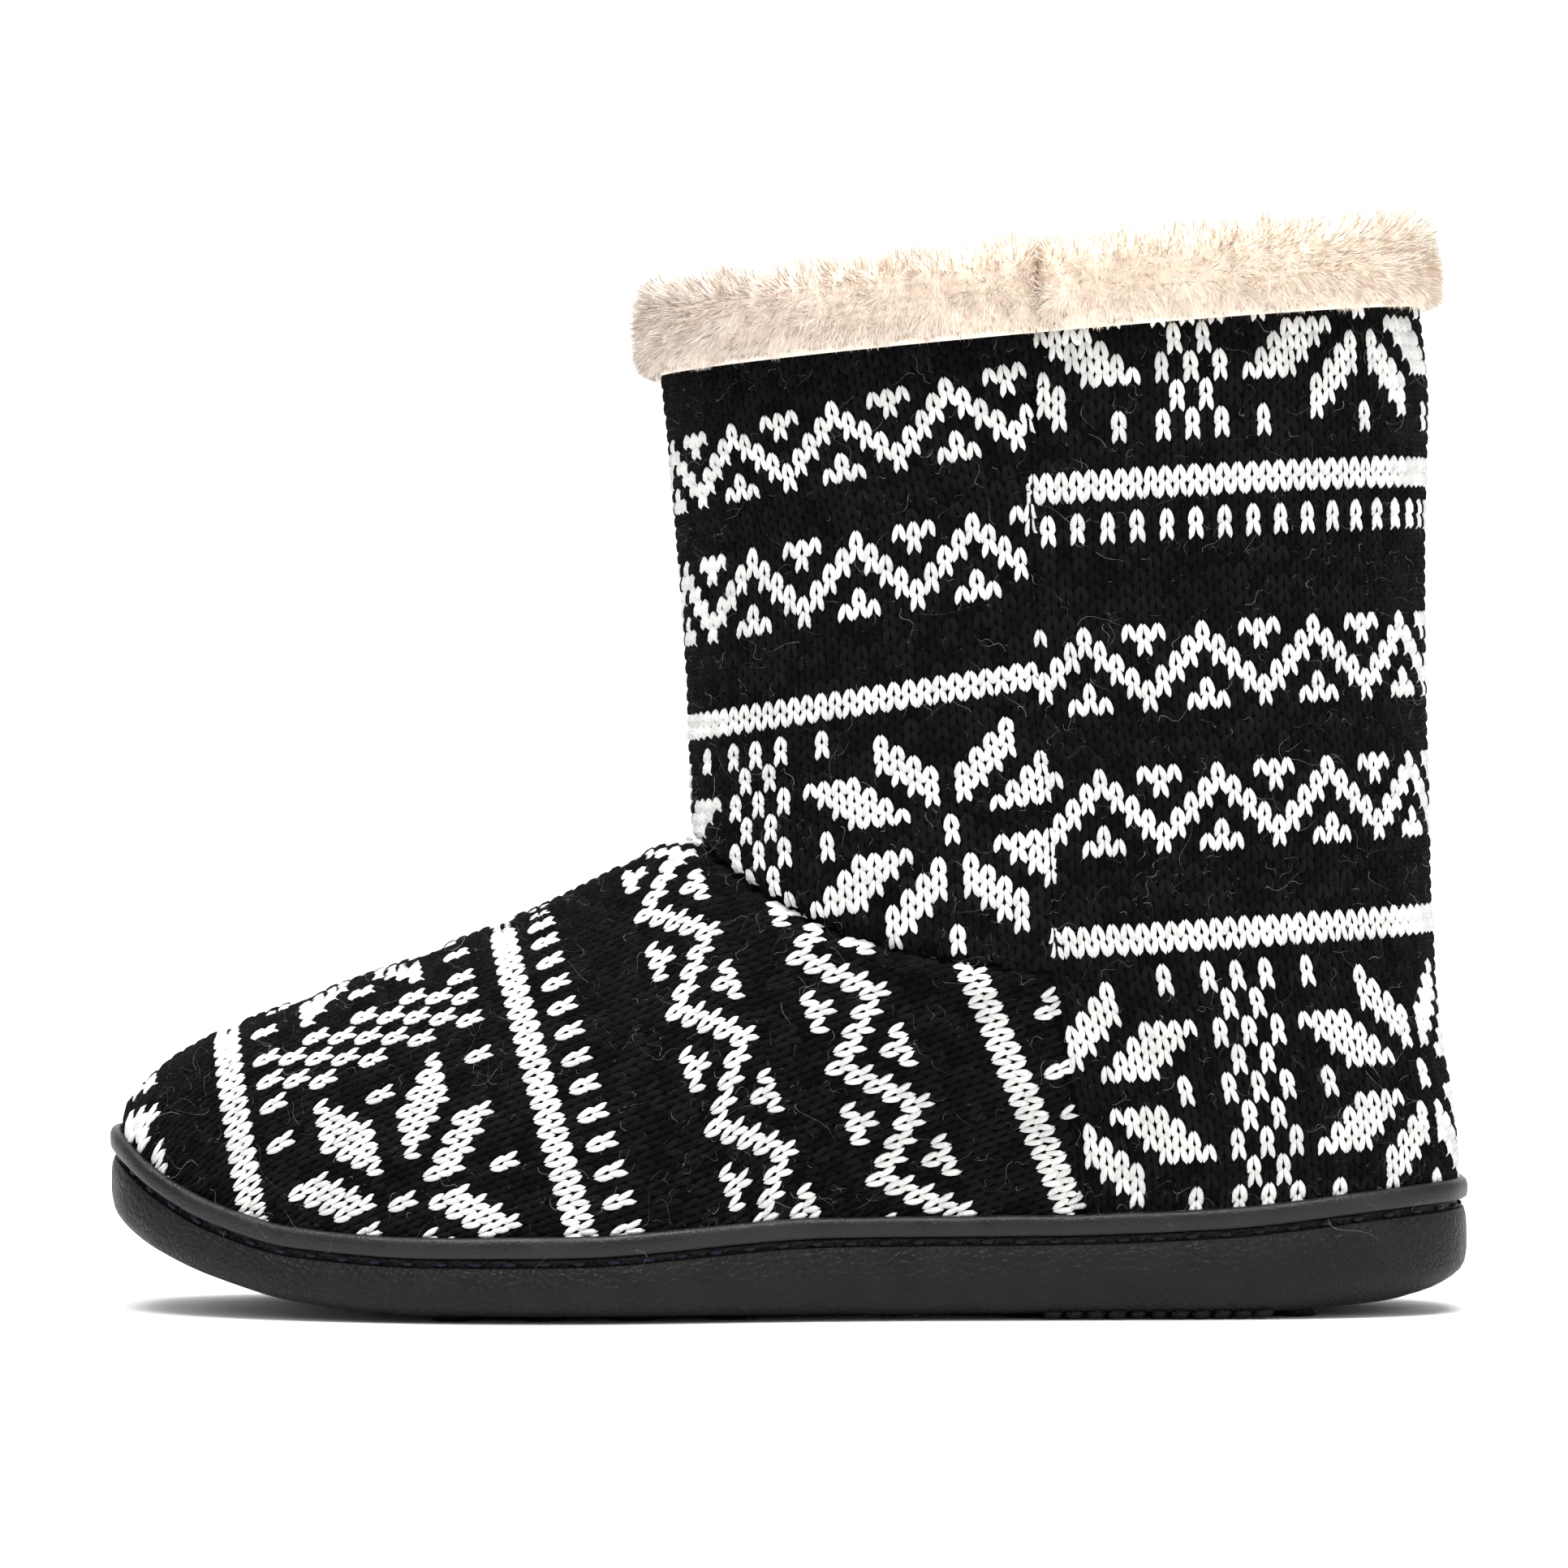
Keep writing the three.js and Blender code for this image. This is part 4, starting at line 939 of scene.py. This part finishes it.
def make_cuff(name, node, first, last, count, parting, strands, seed):
    """A fur piece: a lumpy body under a dense coat of strands, combed down below its parting."""
    rng = np.random.default_rng(seed)
    body, section = cuff_frame(first, last, count)
    rows = len(body)
    along = np.gradient(body, axis=1)
    around = np.roll(body, -1, 0) - np.roll(body, 1, 0)
    normal = np.cross(along, around)
    normal /= np.maximum(np.linalg.norm(normal, axis=-1, keepdims=True), 1e-9)
    furry = section[:, 1] > 0.3
    up = np.array([0, 0, 1.0])
    centre = body.mean(0)
    if np.sum(normal[furry] * (body[furry] - centre), -1).mean() < 0:
        normal = -normal
    lumps = wobble(body, 9.0, seed) * 0.8 + wobble(body, 4.5, seed + 1) * 0.4 - COAT_DEPTH
    body = np.where(furry[:, None, None], body + normal * lumps[..., None], body)
    body[..., 2] += CUFF_LIFT * (furry * smoothstep(section[:, 2], -0.6, 0.95))[:, None]
    faces = grid_faces(rows, count, closed_rows=True)
    caps = []
    for column_at in (0, count - 1):
        ids = np.arange(rows) * count + column_at
        half = rows // 2
        quads = np.stack([ids[:half], ids[1:half + 1], ids[::-1][:half], np.roll(ids[::-1], 1)[:half]], -1)
        caps.append(quads[:, ::-1] if column_at else quads)
    base = make_object(name + "_base", body.reshape(-1, 3), np.concatenate([faces] + caps),
                       [material("fur_base")])
    set_tone(base, np.full(rows * count, 0.2))
    finish_piece(base, "fur", node)

    share = np.where(section[:, 0] > 0, 1.0, 0.55) * furry
    spread = np.linalg.norm(around, axis=-1) * np.linalg.norm(along, axis=-1) * share[:, None]
    pick = rng.choice(spread.size, strands, p=(spread / spread.sum()).ravel())
    i, j = np.unravel_index(pick, spread.shape)
    u, v = rng.uniform(-0.5, 0.5, (2, strands, 1))
    root = body[i, j] + around[i, j] * u / 2 + along[i, j] * v
    out = normal[i, j]
    fall = -up + out * out[:, 2:3]
    top = smoothstep(section[i, 2], *parting)[:, None]
    comb = mix(0.5, 0.05, top)
    clump = np.stack([wobble(root, 11.0, seed + k) for k in (3, 4, 5)], -1)
    fine_clump = np.stack([wobble(root, 5.0, seed + k) for k in (6, 7, 8)], -1)
    direction = out * 0.9 + fall * comb + 0.22 * clump + 0.2 * fine_clump
    direction += 0.16 * rng.normal(size=(strands, 3))
    direction /= np.linalg.norm(direction, axis=1, keepdims=True)
    under = smoothstep(-out[:, 2], 0.1, 0.8)
    length = rng.uniform(*STRAND_LENGTH, strands) * (1 - 0.55 * under) * (1 + 0.12 * clump[:, 0])
    length *= mix(0.85, 1.05, smoothstep(out[:, 2], 0.0, 0.9))
    facing = out + 0.25 * rng.normal(size=(strands, 3))
    coat = fibres(name + "_coat", root, direction, length, STRAND_WIDTH, 0.2, material("fur"), seed + 9, 2,
                  facing)
    return base, finish_piece(coat, "fur")


def make_cuffs(count_front, count_back, seed):
    turn = seam_turn()
    make_cuff("cuff_front", "cuff_front", turn, 1 - turn, 170, (-0.35, 0.5), count_front, seed)
    make_cuff("cuff_back", "cuff_back", -turn, turn, 130, (-0.5, -0.15), count_back, seed + 40)


def instanced(name, points, along, out, stencil, paint, scale, wobble_share, seed):
    """Copies of a small mesh on points, built by a node tree and kept as a plain mesh."""
    base = make_object(name, points, np.zeros((0, 3), np.int32), [])
    for key, values in (("along", along), ("out", out)):
        field = base.data.attributes.new(key, "FLOAT_VECTOR", "POINT")
        field.data.foreach_set("vector", np.asarray(values, np.float32).ravel())
    tree = bpy.data.node_groups.new(name + "_tree", "GeometryNodeTree")
    sockets = {}
    for label, kind in (("Points", "Geometry"), ("Stencil", "Object"), ("Scale", "Float"),
                        ("Variation", "Float"), ("Seed", "Int"), ("Paint", "Material")):
        sockets[label] = tree.interface.new_socket(label, in_out="INPUT", socket_type="NodeSocket" + kind)
    tree.interface.new_socket("Mesh", in_out="OUTPUT", socket_type="NodeSocketGeometry")
    nodes, links = tree.nodes, tree.links
    given, result = nodes.new("NodeGroupInput"), nodes.new("NodeGroupOutput")
    info = nodes.new("GeometryNodeObjectInfo")
    links.new(given.outputs["Stencil"], info.inputs["Object"])
    place = nodes.new("GeometryNodeInstanceOnPoints")
    links.new(given.outputs["Points"], place.inputs["Points"])
    links.new(info.outputs["Geometry"], place.inputs["Instance"])
    turned = None
    for key, axis in (("along", "X"), ("out", "Z")):
        field = nodes.new("GeometryNodeInputNamedAttribute")
        field.data_type = "FLOAT_VECTOR"
        field.inputs["Name"].default_value = key
        align = nodes.new("FunctionNodeAlignRotationToVector")
        align.axis = axis
        align.pivot_axis = "AUTO" if turned is None else "X"
        links.new(field.outputs["Attribute"], align.inputs["Vector"])
        if turned is not None:
            links.new(turned, align.inputs["Rotation"])
        turned = align.outputs["Rotation"]
    links.new(turned, place.inputs["Rotation"])
    chance = nodes.new("FunctionNodeRandomValue")
    chance.data_type = "FLOAT"
    links.new(given.outputs["Seed"], chance.inputs["Seed"])
    low, high = nodes.new("ShaderNodeMath"), nodes.new("ShaderNodeMath")
    low.operation, high.operation = "SUBTRACT", "ADD"
    for made, key in ((low, "Min"), (high, "Max")):
        links.new(given.outputs["Scale"], made.inputs[0])
        links.new(given.outputs["Variation"], made.inputs[1])
        links.new(made.outputs[0], [s for s in chance.inputs if s.name == key and s.type == "VALUE"][0])
    links.new([s for s in chance.outputs if s.type == "VALUE"][0], place.inputs["Scale"])
    real, paint_node = nodes.new("GeometryNodeRealizeInstances"), nodes.new("GeometryNodeSetMaterial")
    links.new(place.outputs["Instances"], real.inputs["Geometry"])
    links.new(real.outputs["Geometry"], paint_node.inputs["Geometry"])
    links.new(given.outputs["Paint"], paint_node.inputs["Material"])
    links.new(paint_node.outputs["Geometry"], result.inputs["Mesh"])
    modifier = base.modifiers.new("repeat", "NODES")
    modifier.node_group = tree
    values = {"Stencil": stencil, "Scale": scale, "Variation": wobble_share, "Seed": seed, "Paint": paint}
    for label, value in values.items():
        modifier[sockets[label].identifier] = value
    bpy.context.view_layer.update()
    solid = bpy.data.meshes.new_from_object(base.evaluated_get(bpy.context.evaluated_depsgraph_get()))
    base.modifiers.clear()
    base.data = solid
    bpy.data.objects.remove(stencil)
    for polygon in solid.polygons:
        polygon.use_smooth = True
    return base


def bead(name, length, width, height, columns=8, rows=6):
    """A rounded oblong bead along X in mm, for stitches and nubs."""
    tilt = np.linspace(0, np.pi, rows + 1)[1:-1]
    turn = np.linspace(0, 2 * np.pi, columns, endpoint=False)
    tilt, turn = np.meshgrid(tilt, turn, indexing="ij")
    ring = np.stack([-np.cos(tilt) * length / 2, np.sin(tilt) * np.cos(turn) * width / 2,
                     np.sin(tilt) * np.sin(turn) * height / 2], -1).reshape(-1, 3)
    points = np.concatenate([ring, [[-length / 2, 0, 0], [length / 2, 0, 0]]])
    quads = grid_faces(rows - 1, columns, closed_columns=True)
    n = len(ring)
    fans = []
    for k in range(columns):
        other = (k + 1) % columns
        fans.append((n, other, k, k))
        last = (rows - 2) * columns
        fans.append((n + 1, last + k, last + other, last + other))
    triangles = np.array(fans)[:, :3]
    split = np.concatenate([quads[:, [0, 1, 2]], quads[:, [0, 2, 3]], triangles])
    return make_object(name, points, split, [])


def edge_ring(edge, out, distance, height):
    points = edge + out * np.asarray(distance)[..., None]
    points[:, 2] = height
    return points


def make_outsole(count=300):
    """Rubber cup sole: rounded lower edge, stitch channel under the welt, flat tread bars."""
    edge, out = lasted_edge(count)
    share = share_along(edge[:, 0])
    top = edge[:, 2] - CLEARANCE
    profile = column(SOLE_SIDE[:, ::-1], 1)
    rings = []
    for up in SOLE_STEPS:
        rounded = HEEL_ROUND * sole_line["bevel"](share) * max(0.0, 1 - up / 0.4) ** 2
        away = float(profile(up)) * FLANGE - rounded
        point = edge + out * away[:, None]
        inward = np.clip((sole_drift(share) - point[:, 1]) / sole_half(share), 0, 1)
        hollow = ARCH_RISE * sole_line["arch"](share) * inward
        point[:, 2] = mix(underside_z(share) + hollow, top - CHANNEL_HEIGHT, up)
        rings.append(point)
    channel = SOLE_SIDE[-1, 0] * FLANGE - CHANNEL_DEPTH
    for inset, height in ((0.25, CHANNEL_HEIGHT), (1.0, CHANNEL_HEIGHT - 0.15), (1.0, 0.15), (0.95, 0.0)):
        away = mix(SOLE_SIDE[-1, 0] * FLANGE, channel, inset)
        rings.append(edge_ring(edge, out, np.full(count, away), top - height))
    rings = np.array(rings)
    rows = len(rings)
    faces = [grid_faces(rows, count, closed_columns=True, flip=True), strip_cap(0, count),
             strip_cap((rows - 1) * count, count, flip=True)]
    points = [rings.reshape(-1, 3)]
    start = rows * count
    sides = 24
    turn = np.linspace(0, 2 * np.pi, sides, endpoint=False)
    for first in TREAD_STARTS:
        for n in range(TREAD_BARS):
            x = HEEL_X + first * SOLE_LENGTH + n * TREAD_PITCH
            s = share_along(x)
            half = float(sole_half(s)) - TREAD_INSET - TREAD_WIDTH / 2
            line = np.stack([np.cos(turn), np.sin(turn)], -1)
            for radius, z in ((1.0, TREAD_DEPTH + 2.0), (1.0, 0.3), (0.92, 0.0), (0.4, 0.0)):
                ring = np.concatenate([line * radius * TREAD_WIDTH / 2, np.full((sides, 1), z)], 1)
                ring[:, 1] += np.where(line[:, 1] >= 0, half, -half) + float(sole_drift(s))
                ring[:, 0] += x
                points.append(ring)
            faces.append(grid_faces(4, sides, start, closed_columns=True))
            faces.append(strip_cap(start, sides, flip=True))
            faces.append(strip_cap(start + 3 * sides, sides))
            start += 4 * sides
    made = make_object("outsole_rubber", np.concatenate(points), np.concatenate(faces),
                       [material("sole_rubber")])
    return finish_piece(made, "sole_rubber", "outsole")


def make_nubs():
    """Small rubber nubs under the rim of the sole."""
    edge, out = lasted_edge(150)
    share = share_along(edge[:, 0])
    kept = (share > 0.14) & (share < 0.32)
    point = edge + out * (-0.6 * FLANGE - 1.2)
    point[:, 2] = underside_z(share) - 0.05
    along = np.roll(edge, -1, 0) - np.roll(edge, 1, 0)
    down = np.tile([0, 0, -1.0], (150, 1))
    stencil = bead("nub", 3.4, 2.2, 1.9)
    made = instanced("sole_nubs", point[kept], along[kept], down[kept], stencil, material("sole_rubber"),
                     1.0, 0.15, 3)
    return finish_piece(made, "sole_rubber")


def make_stitches():
    """Lockstitches that lie in the channel between the welt and the sole."""
    around = plain_surface(np.zeros(1441), np.linspace(0, 1, 1441))
    total = float(reach_along(around)[-1])
    edge, out = lasted_edge(int(round(total / STITCH_PITCH)))
    along = np.roll(edge, -1, 0) - np.roll(edge, 1, 0)
    channel = SOLE_SIDE[-1, 0] * FLANGE - CHANNEL_DEPTH
    point = edge + out * (channel + 0.42)
    point[:, 2] = edge[:, 2] - CLEARANCE - CHANNEL_HEIGHT / 2
    stencil = bead("stitch", STITCH_LENGTH, 0.85, 0.95, rows=8)
    made = instanced("channel_stitches", point, along, out, stencil, material("thread"), 1.0, 0.05, 8)
    return finish_piece(made, "sole_rubber")


def make_welt(count=300):
    """Glossy rubber band round the foot of the knitting, a little wavy along its top."""
    edge, out = lasted_edge(count)
    top = edge[:, 2] - CLEARANCE
    wave = wobble(edge * [1, 1, 0], 26.0, 2)
    rings = []
    for share_out, up in WELT_SECTION:
        away = CLEARANCE + share_out * WELT_THICKNESS + 0.1 * wave * share_out
        rings.append(edge_ring(edge, out, away, top + mix(CLEARANCE, WELT_HEIGHT, up) + 0.18 * wave * up))
    rings = np.array(rings)
    made = joined_rings("welt_band", rings, [material("welt_rubber")], np.zeros(len(rings)))
    return finish_piece(made, "welt_rubber", "welt")


def make_insole(count=220):
    """Plush footbed with rounded edges."""
    edge, out = lasted_edge(count)
    foot = edge[:, 2]
    inset = UPPER_WALL + 2 * CLEARANCE
    rings = []
    for more, lift in INSOLE_SECTION:
        height = foot + lift * INSOLE_THICKNESS
        rings.append(edge_ring(edge, out, np.full(count, -inset - more), height))
    rings = np.array(rings)
    rows = len(rings)
    faces = [grid_faces(rows, count, closed_columns=True, flip=True), strip_cap(0, count),
             strip_cap((rows - 1) * count, count, flip=True)]
    made = make_object("footbed", rings.reshape(-1, 3), np.concatenate(faces), [material("plush")])
    finish_piece(made, "plush", "insole")


LENS, SENSOR_WIDTH = 180.6, 36.0
EYE_X, EYE_HEIGHT, AIM_HEIGHT = 0.00085, 0.104, 0.09997


def area_light(name, place, target, size, power):
    data = bpy.data.lights.new(name, "AREA")
    data.shape, data.size, data.energy = "DISK", size, power
    lamp = bpy.data.objects.new(name, data)
    lamp.location = place
    lamp.rotation_euler = (Vector(target) - Vector(place)).to_track_quat("-Z", "Y").to_euler()
    bpy.context.scene.collection.objects.link(lamp)
    return lamp


def make_stage(camera_distance):
    """Pale floor that runs up into a wall, soft lights, and the camera level with the middle of the shaft."""
    arc = np.linspace(0, np.pi / 2, 16)
    depth = np.concatenate([[2600.0], [1000.0], -1600 - 900 * np.sin(arc), [-2500.0]])
    height = np.concatenate([[0.0], [0.0], 900 - 900 * np.cos(arc), [4200.0]])
    across = np.linspace(-4200, 4200, 9)
    grid = np.stack(np.broadcast_arrays(across[None], depth[:, None], height[:, None]), -1)
    floor = make_object("floor", grid.reshape(-1, 3), grid_faces(len(depth), len(across)),
                        [material("floor_paint")])
    aim = (0.0, 0.0, 0.1)
    lamps = [area_light("key_light", (0.9, 1.6, 1.7), aim, 2.2, 16.0),
             area_light("fill_light", (-1.5, 1.5, 0.9), aim, 1.6, 11.0),
             area_light("top_light", (0.0, -0.3, 2.2), aim, 3.0, 15.0),
             area_light("wall_light", (0.0, 0.4, 2.4), (0.0, -2.0, 0.6), 2.2, 120.0)]
    world = bpy.data.worlds.new("studio")
    world.use_nodes = True
    background = world.node_tree.nodes["Background"]
    background.inputs["Color"].default_value = (1, 1, 1, 1)
    background.inputs["Strength"].default_value = 0.5
    bpy.context.scene.world = world
    bpy.context.scene.view_settings.view_transform = "Standard"
    data = bpy.data.cameras.new("camera")
    data.lens, data.sensor_width = LENS, SENSOR_WIDTH
    camera = bpy.data.objects.new("camera", data)
    camera.location = (EYE_X, camera_distance, EYE_HEIGHT)
    view = Vector((EYE_X, 0, AIM_HEIGHT)) - camera.location
    camera.rotation_euler = view.to_track_quat("-Z", "Y").to_euler()
    bpy.context.scene.collection.objects.link(camera)
    bpy.context.scene.camera = camera


# Settings, operators and panel.
class SlipperSettings(bpy.types.PropertyGroup):
    stray_fibres: bpy.props.IntProperty(
        name="Stray fibres", description="Fibres that stand off the knitting", default=8000, min=0, max=20000)
    front_strands: bpy.props.IntProperty(
        name="Front strands", description="Strands of fur on the front cuff piece", default=50000,
        min=0, max=60000)
    back_strands: bpy.props.IntProperty(
        name="Back strands", description="Strands of fur on the back cuff piece", default=50000,
        min=0, max=60000)
    knit_seed: bpy.props.IntProperty(
        name="Knit seed", description="Seed of the small differences between stitches", default=11)
    fur_seed: bpy.props.IntProperty(name="Fur seed", description="Seed of the fur's lie", default=21)


class StageSettings(bpy.types.PropertyGroup):
    camera_distance: bpy.props.FloatProperty(
        name="Camera distance", description="From the middle of the boot", default=1.5, min=0.5,
        unit="LENGTH", subtype="DISTANCE")


class PieceOperator:
    """Shared run of the operators: a piece that fails stops the script."""
    bl_options = {"REGISTER", "UNDO"}

    def execute(self, context):
        self.make(context.scene)
        return {"FINISHED"}


class SLIPPER_OT_wall(PieceOperator, bpy.types.Operator):
    """Make the hollow wall of the upper: near-black ground outside, partly painted shade between the
    stitches, plush inside
    """
    bl_idname = "slipper.wall"
    bl_label = "Wall and lining"

    def make(self, scene):
        make_wall()


class SLIPPER_OT_knit(PieceOperator, bpy.types.Operator):
    """Knit the back, the front and the vamp, stitch by stitch"""
    bl_idname = "slipper.knit"
    bl_label = "Knitting"

    def make(self, scene):
        make_knit(scene.slipper_settings.knit_seed)


class SLIPPER_OT_fibres(PieceOperator, bpy.types.Operator):
    """Scatter stray fibres over the knitting"""
    bl_idname = "slipper.fibres"
    bl_label = "Stray fibres"

    def make(self, scene):
        make_stray_fibres(scene.slipper_settings.stray_fibres)


class SLIPPER_OT_cuffs(PieceOperator, bpy.types.Operator):
    """Make the front and the back fur cuff"""
    bl_idname = "slipper.cuffs"
    bl_label = "Fur cuffs"

    def make(self, scene):
        given = scene.slipper_settings
        make_cuffs(given.front_strands, given.back_strands, given.fur_seed)


class SLIPPER_OT_sole(PieceOperator, bpy.types.Operator):
    """Make the rubber sole with its rim nubs and channel stitches"""
    bl_idname = "slipper.sole"
    bl_label = "Sole"

    def make(self, scene):
        make_outsole()
        make_nubs()
        make_stitches()


class SLIPPER_OT_welt(PieceOperator, bpy.types.Operator):
    """Make the welt band"""
    bl_idname = "slipper.welt"
    bl_label = "Welt"

    def make(self, scene):
        make_welt()


class SLIPPER_OT_insole(PieceOperator, bpy.types.Operator):
    """Make the plush footbed"""
    bl_idname = "slipper.insole"
    bl_label = "Footbed"

    def make(self, scene):
        make_insole()


class SLIPPER_OT_stage(PieceOperator, bpy.types.Operator):
    """Set up the floor, the lights and the camera"""
    bl_idname = "slipper.stage"
    bl_label = "Stage"

    def make(self, scene):
        make_stage(scene.slipper_stage.camera_distance)


OPERATORS = (SLIPPER_OT_wall, SLIPPER_OT_knit, SLIPPER_OT_fibres, SLIPPER_OT_cuffs, SLIPPER_OT_sole,
             SLIPPER_OT_welt, SLIPPER_OT_insole, SLIPPER_OT_stage)


class SLIPPER_PT_panel(bpy.types.Panel):
    """Buttons for each piece, with their settings"""
    bl_label = "Slipper boot"
    bl_space_type = "VIEW_3D"
    bl_region_type = "UI"
    bl_category = "Slipper"

    def draw(self, context):
        for group in (context.scene.slipper_settings, context.scene.slipper_stage):
            for key in type(group).__annotations__:
                self.layout.prop(group, key)
        for operator in OPERATORS:
            self.layout.operator(operator.bl_idname)


CLASSES = (SlipperSettings, StageSettings, *OPERATORS, SLIPPER_PT_panel)


def register():
    for made in CLASSES:
        bpy.utils.register_class(made)
    bpy.types.Scene.slipper_settings = bpy.props.PointerProperty(type=SlipperSettings)
    bpy.types.Scene.slipper_stage = bpy.props.PointerProperty(type=StageSettings)


def unregister():
    del bpy.types.Scene.slipper_stage
    del bpy.types.Scene.slipper_settings
    for made in reversed(CLASSES):
        bpy.utils.unregister_class(made)


def main():
    register()
    for operator in OPERATORS:
        getattr(bpy.ops.slipper, operator.bl_idname.split(".")[1])()


if __name__ == "__main__":
    main()
